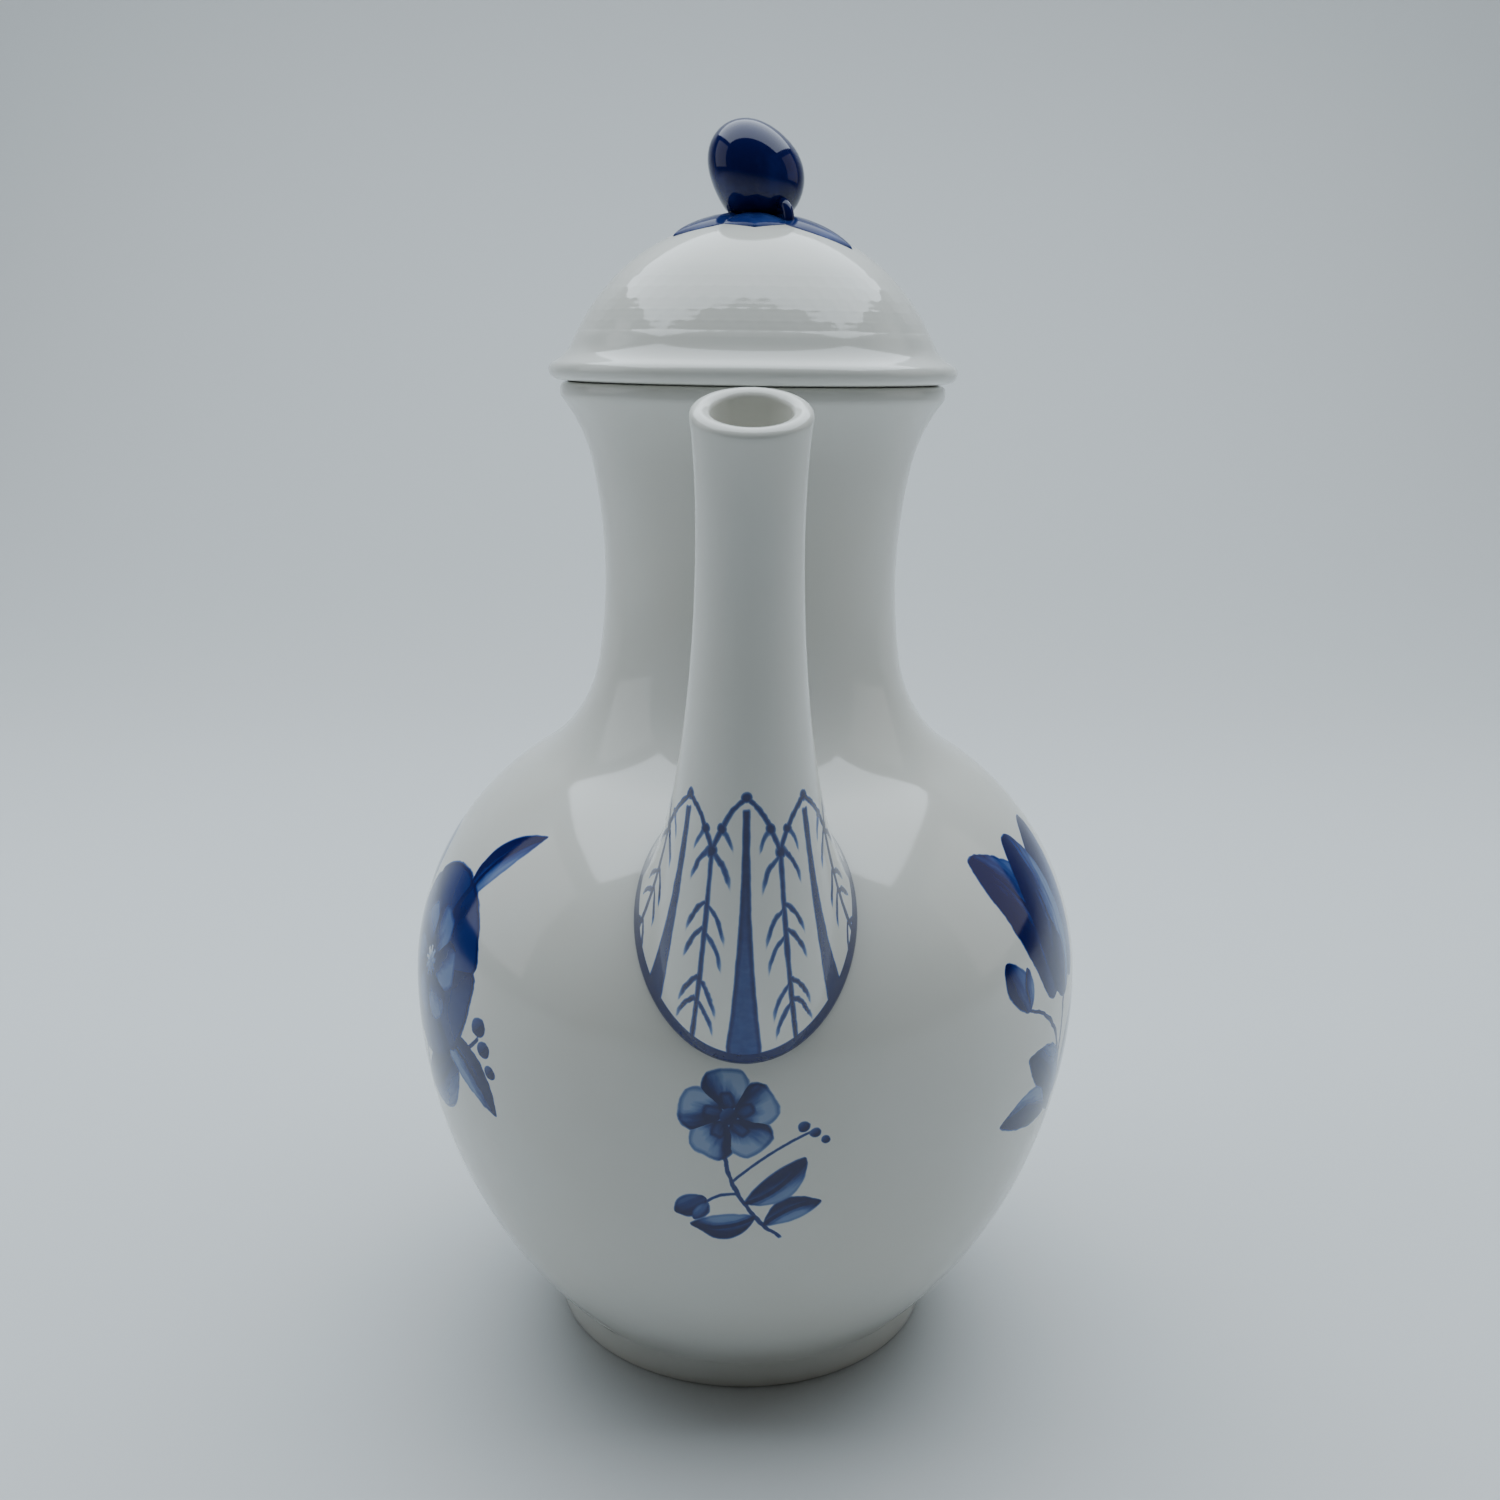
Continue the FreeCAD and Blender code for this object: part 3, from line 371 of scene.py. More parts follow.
def lathe(name, profile, around, lift=None):
    """A profile from axis to axis turned about Z: point (r, z) at angle a goes to (r cos a, r sin a, z).
    A lift, given for each row and column, moves points along the profile's own normal."""
    angle = turns(around)
    radius = np.repeat(profile[1:-1, :1], around, 1)
    height = np.repeat(profile[1:-1, 1:], around, 1)
    if lift is not None:
        tangent = np.gradient(profile, axis=0)[1:-1]
        normal = np.stack([tangent[:, 1], -tangent[:, 0]], 1)
        normal /= np.linalg.norm(normal, axis=1)[:, None]
        radius = radius + normal[:, :1] * lift[1:-1]
        height = height + normal[:, 1:] * lift[1:-1]
    grid = np.stack([radius * np.cos(angle), radius * np.sin(angle), height], -1).reshape(-1, 3)
    poles = [(0.0, 0.0, profile[0, 1]), (0.0, 0.0, profile[-1, 1])]
    return add_mesh(name, np.concatenate([grid, poles]), capped(len(profile) - 2, around))


def faces_of(piece):
    """Centres of a piece's faces in millimetres."""
    centres = np.empty(len(piece.data.polygons) * 3, np.float32)
    piece.data.polygons.foreach_get("center", centres)
    return centres.reshape(-1, 3) / MM


def wear(piece, materials, zones=None):
    """Give a piece its materials, with the number of the one that each face wears."""
    for material in materials:
        piece.data.materials.append(material)
    if zones is not None:
        piece.data.polygons.foreach_set("material_index", zones.astype(np.int32))


def settle(piece, nodes, body):
    """The piece stands for its nodes and rides on their body."""
    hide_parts(*nodes)
    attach(piece, body)


def tube(path, across, up, half_width, half_depth, angle):
    """An oval carried along a path: path point + half width cos a * across + half depth sin a * up."""
    return (path[:, None]
            + half_width[..., None] * np.cos(angle)[:, None] * across
            + half_depth[..., None] * np.sin(angle)[:, None] * up[:, None])


def clear_of_wall(points):
    """How far points lie outside the pot's wall, measured level."""
    return np.hypot(points[..., 0], points[..., 1]) - wall_radius(points[..., 2])


# Spout

class Spout:
    """The spout's middle line is a cubic curve in the plane x = 0, and its section an oval square to it."""

    def __init__(self):
        wall = Wall(0.0)
        rise = ROOT_RISE / wall.shoulder_arc
        ahead = np.array([sqrt(1 - rise ** 2), rise])
        root = np.array(wall.shoulder_centre) + (wall.shoulder_arc - ROOT_INSET) * ahead
        mouth = np.array([MOUTH_REACH, MOUTH_HEIGHT])
        lean = np.array([sin(MOUTH_LEAN), cos(MOUTH_LEAN)])
        self.steer = np.stack([root, root + ROOT_PULL * ahead, mouth - MOUTH_PULL * lean, mouth])

    def middle(self, share):
        """Points of the middle line and its directions, as (reach to -Y, height)."""
        share = np.asarray(share)[..., None]
        rest = 1 - share
        a, b, c, d = self.steer
        place = rest ** 3 * a + 3 * rest ** 2 * share * b + 3 * rest * share ** 2 * c + share ** 3 * d
        way = rest ** 2 * (b - a) + 2 * rest * share * (c - b) + share ** 2 * (d - c)
        return place, way / np.linalg.norm(way, axis=-1, keepdims=True)

    def surface(self, share, angle, inset):
        """Points at shares of the way and angles round it. Angle 0 is under the spout, facing outwards."""
        place, way = self.middle(share)
        taper = (1 - share) ** ROOT_TAPER
        width = (TUBE_WIDTH + (ROOT_WIDTH - TUBE_WIDTH) * taper
                 + (MOUTH_WIDTH - TUBE_WIDTH) * share ** MOUTH_FLARE) / 2 - inset
        depth = width + (TUBE_OVAL + ROOT_OVAL * taper) / 2
        out = place[..., 0] + depth * np.cos(angle) * way[..., 1]
        high = place[..., 1] - depth * np.cos(angle) * way[..., 0]
        return np.stack([width * np.sin(angle), -out, high], -1)

    def root(self, angle, inset, gap):
        """The share at which the surface leaves the pot's wall, at each angle, found by halving."""
        low = np.zeros_like(angle)
        high = np.full_like(angle, ROOT_LIMIT)
        for _ in range(HALVINGS):
            middle = (low + high) / 2
            inside = clear_of_wall(self.surface(middle, angle, inset)) < gap
            low = np.where(inside, middle, low)
            high = np.where(inside, high, middle)
        return high


def make_spout():
    """Outside from the root's step to the lip, round the lip and down the channel, on one closed grid."""
    spout = Spout()
    columns = 196
    angle = turns(columns)
    start = spout.root(angle, 0.0, ROOT_STEP)
    rows = np.linspace(0.0, 1.0, 120)[:, None] ** ROOT_CROWD
    # The lip is a half round between the outside and the channel, and its crest stands at the mouth.
    half = LIP_WALL / 2
    top = 1 - half * LIP_CROWN / (3 * MOUTH_PULL)
    outside = spout.surface(start + (top - start) * rows, angle + 0 * rows, 0.0)
    # The step at the root goes down into the wall along the way to the axis.
    inward = -outside[0] * [1.0, 1.0, 0.0]
    inward /= np.linalg.norm(inward, axis=1, keepdims=True)
    step = outside[0] + inward * np.array(STEP_CURVE)[:, None, None] * ROOT_STEP
    turn = np.linspace(0.0, pi, 14)[1:-1, None]
    _, way = spout.middle(1.0)
    rise = np.array([0.0, -way[0], way[1]]) * half * LIP_CROWN
    lip = spout.surface(top + 0 * (angle + turn), angle + 0 * turn, half - half * np.cos(turn))
    lip = lip + rise * np.sin(turn)[..., None]
    inner_start = spout.root(angle, SPOUT_WALL, 0.0)
    rows = np.linspace(1.0, 0.0, 60)[:, None]
    share = inner_start + (top - inner_start) * rows
    inset = SPOUT_WALL + (LIP_WALL - SPOUT_WALL) * share ** MOUTH_FLARE
    channel = spout.surface(share, angle + 0 * rows, inset)
    grid = np.concatenate([step, outside, lip, channel])
    count = len(grid)
    quads = rows_of_quads(count, columns)
    ring = np.arange(columns)
    ahead = np.roll(ring, -1)
    last = (count - 1) * columns
    seat = np.stack([last + ring, last + ahead, ahead, ring], 1)
    piece = add_mesh("pouring_spout", grid.reshape(-1, 3), [quads, seat])
    mark_collar(piece, spout, grid, len(step), len(step) + len(outside), angle)
    return piece


COLLAR_LEAVES = 7
COLLAR_TIP = 0.435
COLLAR_LIFT = 1.0
COLLAR_DROP = 3.4
BORDER_WIDTH = 2.8
BORDER_SWELL = 1.0
VEIN_SHIFT = 1.1
VEIN_PHASE = 5.1


def mark_collar(piece, spout, grid, first, last, angle):
    """Store where each point lies on the painted collar: its offset from the nearest midrib, 0 on it and 1
    half way to the next, its length below the leaf's tip and its length from the root's edge, then half a
    leaf's width there, a shift of the veins on this half leaf and the width of the edge's line."""
    shape = grid.shape[:2]
    wave = angle * COLLAR_LEAVES / (2 * pi)
    offset = np.broadcast_to(1 - np.abs(2 * (wave % 1.0) - 1), shape)
    tall = np.concatenate([np.zeros((1, shape[1])),
                           np.cumsum(np.linalg.norm(np.diff(grid, axis=0), axis=2), 0)])
    edge = tall - tall[first]
    edge[last:] = edge[last - 1]
    share = np.linspace(0.0, 1.0, 400)
    line, _ = spout.middle(share)
    along = lengths(line)
    reach = (grid[:, :, None, 1] + line[:, 0]) ** 2 + (grid[:, :, None, 2] - line[:, 1]) ** 2
    below = np.interp(COLLAR_TIP, share, along) - along[np.argmin(reach, axis=2)]
    below += COLLAR_LIFT - COLLAR_DROP * np.sin(angle) ** 2
    around = np.linalg.norm(grid - np.roll(grid, 1, 1), axis=2).sum(1, keepdims=True)
    half = np.broadcast_to(around / (2 * COLLAR_LEAVES), shape)
    shift = np.broadcast_to(VEIN_SHIFT * np.sin(VEIN_PHASE * np.floor(2 * wave)), shape)
    border = np.broadcast_to(BORDER_WIDTH + BORDER_SWELL * np.sin(angle) ** 2, shape)
    for name, field in (("collar_place", (offset, below, edge)), ("collar_form", (half, shift, border))):
        attribute = piece.data.attributes.new(name, "FLOAT_VECTOR", "POINT")
        attribute.data.foreach_set("vector", np.stack(field, -1).astype(np.float32).ravel())


# Handle

def handle_path():
    """The handle's middle line as (reach to +Y, height): a run, two arcs of one turn and a run."""
    ahead = (cos(HANDLE_RISE), sin(HANDLE_RISE))
    back_centre = (HANDLE_REACH - HANDLE_BACK_ARC, HANDLE_BULGE)
    offset = (HANDLE_START[0] + HANDLE_TOP_ARC * ahead[1] - back_centre[0],
              HANDLE_START[1] - HANDLE_TOP_ARC * ahead[0] - back_centre[1])
    along = offset[0] * ahead[0] + offset[1] * ahead[1]
    spare = (HANDLE_BACK_ARC - HANDLE_TOP_ARC) ** 2 - offset[0] ** 2 - offset[1] ** 2
    run = -along + sqrt(along ** 2 + spare)
    turn = (HANDLE_START[0] + run * ahead[0], HANDLE_START[1] + run * ahead[1])
    top_centre = (turn[0] + HANDLE_TOP_ARC * ahead[1], turn[1] - HANDLE_TOP_ARC * ahead[0])
    middle = toward(back_centre, top_centre, HANDLE_BACK_ARC)
    low = (back_centre[0] + HANDLE_BACK_ARC * cos(HANDLE_TAIL_TURN),
           back_centre[1] - HANDLE_BACK_ARC * sin(HANDLE_TAIL_TURN))
    end = (low[0] - HANDLE_TAIL_RUN * sin(HANDLE_TAIL_TURN), low[1] - HANDLE_TAIL_RUN * cos(HANDLE_TAIL_TURN))
    return chain(HANDLE_START, arc(top_centre, turn, middle, clockwise=True),
                 arc(back_centre, middle, low, clockwise=True)[1:], end)


def make_handle():
    """An oval bar along its path. It swells by two shares that die away with the distance from the wall, a
    wide one and a short one, where it is joined to the neck and the belly."""
    columns = 64
    path = handle_path()
    place = resample(path, np.linspace(0.0, lengths(path)[-1], 220))
    # A short weighted mean eases one arc of the path into the next.
    margin = 6
    kernel = np.hanning(2 * margin + 1)
    kernel = kernel / kernel.sum()
    place[margin:-margin] = np.stack([np.convolve(column, kernel, "valid") for column in place.T], 1)
    way = np.gradient(place, axis=0)
    way /= np.linalg.norm(way, axis=1)[:, None]
    centre = np.stack([0 * place[:, 0], place[:, 0], place[:, 1]], 1)
    up = np.stack([0 * way[:, 0], -way[:, 1], way[:, 0]], 1)
    outside = clear_of_wall(centre)
    away = np.clip(outside, 0.0, None)
    swell = (1 + HANDLE_SWELL * np.exp(-away / HANDLE_SWELL_RUN)
             + HANDLE_FILLET * np.exp(-away / HANDLE_FILLET_RUN))[:, None]
    grid = tube(centre, np.array([1.0, 0.0, 0.0]), up, HANDLE_WIDTH / 2 * swell, HANDLE_DEPTH / 2 * swell,
                turns(columns))
    kept = np.flatnonzero(outside > -HANDLE_SINK)
    grid = grid[kept[0]:kept[-1] + 1]
    ends = [grid[0].mean(0), grid[-1].mean(0)]
    points = np.concatenate([grid.reshape(-1, 3), ends])
    return add_mesh("ear_handle", points, capped(len(grid), columns, flip=True))


# Lid and bud

WEAVE_LOW = LID_TOP - 20.6
WEAVE_HIGH = LID_TOP - 9.2
WEAVE_ROWS = 6
WEAVE_STAKES = 54
WEAVE_DEPTH = 0.025
WEAVE_STEP = 0.06


def on_top(profile):
    """Which points of the lid's profile lie on its outside, above the edge of the brim."""
    return np.arange(len(profile)) < np.argmax(profile[:, 0])


def weave(profile, around):
    """Low basket relief round the dome. A row of strands is a bump over the row times one over each stake,
    every second row is shifted by half a stake, and a step of its own closes the band below."""
    level = (profile[:, 1:] - WEAVE_LOW) / (WEAVE_HIGH - WEAVE_LOW)
    row = np.clip(level, 0.0, 0.9999) * WEAVE_ROWS
    across = 1 - np.abs(2 * (row % 1.0) - 1) ** 4
    shift = np.where(np.floor(row) % 2 > 0, pi, 0.0)
    strand = 1 - np.abs(np.sin((turns(around) * WEAVE_STAKES + shift) / 2)) ** 6
    fade = np.clip((1 - level) * 4, 0.0, 1.0)
    band = np.clip(level * 40, 0.0, 1.0) * fade
    relief = band * (WEAVE_STEP + WEAVE_DEPTH * across * strand)
    return np.where(on_top(profile)[:, None] & (level > 0) & (level < 1), relief, 0.0)


def pierce(piece, x, y, width):
    """Bore an upright round hole through a piece: what a long cylinder at the place takes away."""
    columns = 48
    angle = turns(columns)
    circle = np.stack([x + width / 2 * np.cos(angle), y + width / 2 * np.sin(angle)], 1)
    low, high = corner("lid_brim", False)[2], 2 * LID_TOP
    rings = [np.column_stack([circle, np.full(columns, level)]) for level in (low, high)]
    poles = [(x, y, low), (x, y, high)]
    drill = add_mesh("drill", np.concatenate([*rings, poles]), capped(2, columns))
    bore = piece.modifiers.new("bore", "BOOLEAN")
    bore.object = drill
    bored = piece.evaluated_get(bpy.context.evaluated_depsgraph_get())
    mesh = bpy.data.meshes.new_from_object(bored)
    piece.modifiers.clear()
    piece.data = mesh
    bpy.data.objects.remove(drill)


def make_lid():
    """The lid's profile turned about the axis, with finer rows for the woven band, and bored for its vent."""
    around = 9 * WEAVE_STAKES
    profile = soften(lid_profile(), 150)
    band = on_top(profile) & (profile[:, 1] > WEAVE_LOW - GLAZE) & (profile[:, 1] < WEAVE_HIGH)
    first, last = np.flatnonzero(band)[[0, -1]]
    stretch = profile[first:last + 1]
    fine = resample(stretch, np.linspace(0.0, lengths(stretch)[-1], 64))
    profile = chain(profile[:first], fine, profile[last + 1:])
    piece = lathe("domed_lid", profile[::-1], around, -weave(profile, around)[::-1])
    pierce(piece, 0.0, VENT_REACH, VENT_WIDTH)
    return piece


def make_bud():
    """The bud is an egg whose radius follows the direction it points in: the mean radius, a stretch along the
    leaning axis, and a slight threefold wave that flattens its right shoulder and fills its left one."""
    rows, columns = 96, 128
    tilt = np.linspace(0.0, pi, rows)[:, None]
    turn = turns(columns)
    side = np.sin(tilt) * np.cos(turn)
    front = np.sin(tilt) * np.sin(turn)
    top = np.cos(tilt) + 0 * turn
    along = top * cos(BUD_LEAN) - side * sin(BUD_LEAN)
    aside = top * sin(BUD_LEAN) + side * cos(BUD_LEAN)
    radius = BUD_RADIUS + BUD_STRETCH * (along ** 2 - aside ** 2)
    radius += BUD_FLAT * (side ** 3 - 3 * side * top ** 2) + BUD_FULL * (3 * side ** 2 * top - top ** 3)
    grid = radius[..., None] * np.stack([side, front, top], -1) + [0.0, 0.0, BUD_CENTRE]
    points = np.concatenate([grid[1:-1].reshape(-1, 3), grid[[0, -1], 0]])
    return add_mesh("bud_knob", points, capped(rows - 2, columns, flip=True))


STALK_TURN = radians(52.0)
STALK_REACH = 6.8
STALK_ARC = 3.0
STALK_THICKNESS = 2.0


def make_stalk():
    """A small round stalk that curls from the lid into the bud: a ring standing upright on the dome."""
    rows, columns = 64, 24
    along = turns(rows)[:, None]
    round_it = turns(columns)
    reach = STALK_ARC + STALK_THICKNESS / 2 * np.cos(round_it)
    out = STALK_REACH + reach * np.cos(along)
    aside = STALK_THICKNESS / 2 * np.sin(round_it) + 0 * along
    high = DOME_CENTRE + sqrt(DOME_RADIUS ** 2 - STALK_REACH ** 2) + reach * np.sin(along)
    x = out * cos(STALK_TURN) + aside * sin(STALK_TURN)
    y = -out * sin(STALK_TURN) + aside * cos(STALK_TURN)
    grid = np.stack([x, y, high], -1)
    quads = rows_of_quads(rows + 1, columns) % (rows * columns)
    return add_mesh("bud_stalk", grid.reshape(-1, 3), [quads])


def make_leaves():
    """Pointed leaves laid on the dome round the bud. Each is a lens in (along, across) that stays broad at
    its root under the bud. A round crown with a groove along its middle lifts it off the dome, and it is
    closed underneath."""
    rows, columns = 49, 25
    along = np.linspace(0.0, 1.0, rows)[:, None]
    across = np.linspace(-1.0, 1.0, columns)
    lens = np.clip(np.sin(pi * (LEAF_BLUNT + (1 - LEAF_BLUNT) * along)), 0.0, 1.0)
    aside = (LEAF_WIDTH / 2 * lens ** LEAF_FULLNESS + LEAF_EDGE) * across
    crown = LEAF_CROWN * (1 - across ** 2) * np.clip(1.3 * (1 - along), 0.0, 1.0) ** 0.35
    crown = crown - GROOVE_DEPTH * np.exp(-(across / GROOVE_WIDTH) ** 2) * np.sin(pi * along)
    size = rows * columns
    quad = sheet_of_quads(rows, columns)
    rim = np.concatenate([np.arange(columns), np.arange(1, rows) * columns + columns - 1,
                          (rows - 1) * columns + np.arange(columns - 2, -1, -1),
                          np.arange(rows - 2, 0, -1) * columns])
    ahead = np.roll(rim, -1)
    points, faces = [], []
    for number, (tip, degrees) in enumerate(zip(LEAF_TIPS, LEAF_TURNS)):
        turn = radians(degrees)
        radius = LEAF_ROOT + (tip - LEAF_ROOT) * along + 0 * across
        x = radius * cos(turn) - aside * sin(turn)
        y = radius * sin(turn) + aside * cos(turn)
        flat = x ** 2 + y ** 2
        for lift in (crown, 0 * crown - LEAF_SINK):
            high = DOME_CENTRE + np.sqrt((DOME_RADIUS + lift) ** 2 - flat)
            points.append(np.stack([x, y, high], -1).reshape(-1, 3))
        top = 2 * number * size
        low = top + size
        faces += [quad[:, ::-1] + top, quad + low,
                  np.stack([rim + top, ahead + top, ahead + low, rim + low], 1)]
    return add_mesh("leaf_spray", np.concatenate(points), faces)


# Finishes

def both_ways(operation):
    """An operator on values and its reflected form, which take the value first and second."""
    def straight(value, other):
        return value.math(operation, other)

    def reflected(value, other):
        return value.finish.node("Math", {"operation": operation}, [other, value])

    return straight, reflected


class Value:
    """A number that changes over a surface. Arithmetic on it adds Math nodes."""

    __add__, __radd__ = both_ways("ADD")
    __sub__, __rsub__ = both_ways("SUBTRACT")
    __mul__, __rmul__ = both_ways("MULTIPLY")
    __truediv__, __rtruediv__ = both_ways("DIVIDE")
    __pow__, __rpow__ = both_ways("POWER")
    __mod__, __rmod__ = both_ways("FLOORED_MODULO")

    def __init__(self, finish, socket):
        self.finish = finish
        self.socket = socket

    def math(self, operation, *others):
        """A Math node on this number and others."""
        return self.finish.node("Math", {"operation": operation}, [self, *others])

    def __abs__(self):
        return self.math("ABSOLUTE")

    def clip(self, low=0.0, high=1.0):
        """The number held between two limits."""
        return self.math("MAXIMUM", low).math("MINIMUM", high)

    def smooth(self, low, high):
        """0 below the low end, 1 above the high end and a smooth step between them."""
        return self.finish.node("MapRange", {"interpolation_type": "SMOOTHSTEP"},
                                {"Value": self, "From Min": low, "From Max": high})


class Finish:
    """A material made of nodes."""

    def __init__(self, name):
        self.material = bpy.data.materials.new(name)
        self.material.use_nodes = True
        self.tree = self.material.node_tree
        self.shader = self.tree.nodes["Principled BSDF"]

    def node(self, kind, settings=None, inputs=None, output=0):
        """Add a node of a type, set it up, feed its sockets by name or in order, and give one output."""
        node = self.tree.nodes.new("ShaderNode" + kind)
        for name, setting in (settings or {}).items():
            if name == "stops":
                self.set_stops(node.color_ramp, setting)
            else:
                setattr(node, name, setting)
        pairs = inputs.items() if isinstance(inputs, dict) else enumerate(inputs or [])
        for key, given in pairs:
            self.feed(node.inputs[key], given)
        return Value(self, node.outputs[output])

    def set_stops(self, ramp, stops):
        """Give a ramp its places and colours."""
        while len(ramp.elements) < len(stops):
            ramp.elements.new(1.0)
        for element, (place, colour) in zip(ramp.elements, stops):
            element.position = place
            element.color = (*colour, 1.0)

    def feed(self, socket, given):
        """Link a value to a socket, or set what is the same all over."""
        if isinstance(given, Value):
            self.tree.links.new(given.socket, socket)
        else:
            socket.default_value = given

    def set(self, **sockets):
        """Feed the shader's own sockets, named with spaces as low lines."""
        for name, given in sockets.items():
            self.feed(self.shader.inputs[name.replace("_", " ")], given)

    def place(self):
        """The point of the surface in the pot's own frame."""
        return self.node("TexCoord", output="Object")

    def parts(self, vector):
        """The three numbers of a vector."""
        split = self.node("SeparateXYZ", inputs=[vector]).socket.node
        return [Value(self, socket) for socket in split.outputs]

    def blend(self, factor, low, high):
        """A number between two, by a factor."""
        return self.node("Mix", {"data_type": "FLOAT"}, {0: factor, 2: low, 3: high})

    def tint(self, factor, low, high):
        """A colour between two, by a factor."""
        mix = self.node("Mix", {"data_type": "RGBA"}, {0: factor, 6: low, 7: high})
        return Value(self, mix.socket.node.outputs[2])

    def noise(self, vector, scale, detail=2.0):
        """Clouds between 0 and 1, so many to a unit of the vector."""
        return self.node("TexNoise", inputs={"Vector": vector, "Scale": scale, "Detail": detail})


PORCELAIN = (0.735, 0.731, 0.682, 1.0)
PORCELAIN_WARM = (0.715, 0.703, 0.64, 1.0)
KILN_SPECK = (0.16, 0.14, 0.12, 1.0)
BARE_CLAY = (0.70, 0.68, 0.63, 1.0)
SOILED_CLAY = (0.52, 0.49, 0.44, 1.0)
PIGMENT = ((0.0, (0.48, 0.55, 0.67)), (0.25, (0.15, 0.24, 0.44)), (0.5, (0.035, 0.085, 0.28)),
           (0.75, (0.006, 0.026, 0.17)), (1.0, (0.001, 0.004, 0.075)))


def glaze(finish, ink=None):
    """Clear gloss glaze over white porcelain, with the painter's ink under it where some is given. The
    porcelain is clouded and has a few specks, and the glaze lies in slow ripples with a fine skin."""
    place = finish.place()
    cloud = finish.noise(place, 22.0, 3.0)
    colour = finish.tint(cloud.smooth(0.35, 0.7), PORCELAIN, PORCELAIN_WARM)
    speck = finish.node("TexVoronoi", inputs={"Vector": place, "Scale": 55.0})
    colour = finish.tint(speck.smooth(0.012, 0.008) * 0.5, colour, KILN_SPECK)
    if ink is not None:
        pigment = finish.node("ValToRGB", {"stops": PIGMENT}, [ink])
        colour = finish.tint(ink.smooth(0.0, 0.22), colour, pigment)
    finish.set(Base_Color=colour)
    ripple = finish.noise(place, 48.0, 1.0)
    skin = finish.noise(place, 420.0)
    height = ripple + skin * 0.02
    bump = finish.node("Bump", inputs={"Strength": 0.45, "Distance": 0.0007, "Height": height})
    finish.set(Normal=bump, Roughness=0.055 + 0.05 * finish.noise(place, 60.0),
               IOR=1.58, Specular_IOR_Level=0.5)
    return finish.material


def white_glaze():
    """The glaze where nothing is painted."""
    return glaze(Finish("white_glaze"))


def bare_foot():
    """The unglazed ring that the pot stands on: dry, fine-grained and a little soiled."""
    finish = Finish("bare_foot")
    place = finish.place()
    grain = finish.noise(place, 900.0, 4.0)
    soil = finish.noise(place, 60.0, 4.0)
    finish.set(Base_Color=finish.tint(soil.smooth(0.4, 0.75), BARE_CLAY, SOILED_CLAY))
    bump = finish.node("Bump", inputs={"Strength": 0.4, "Distance": 0.0002, "Height": grain})
    finish.set(Normal=bump, Roughness=0.7 + 0.2 * grain)
    return finish.material


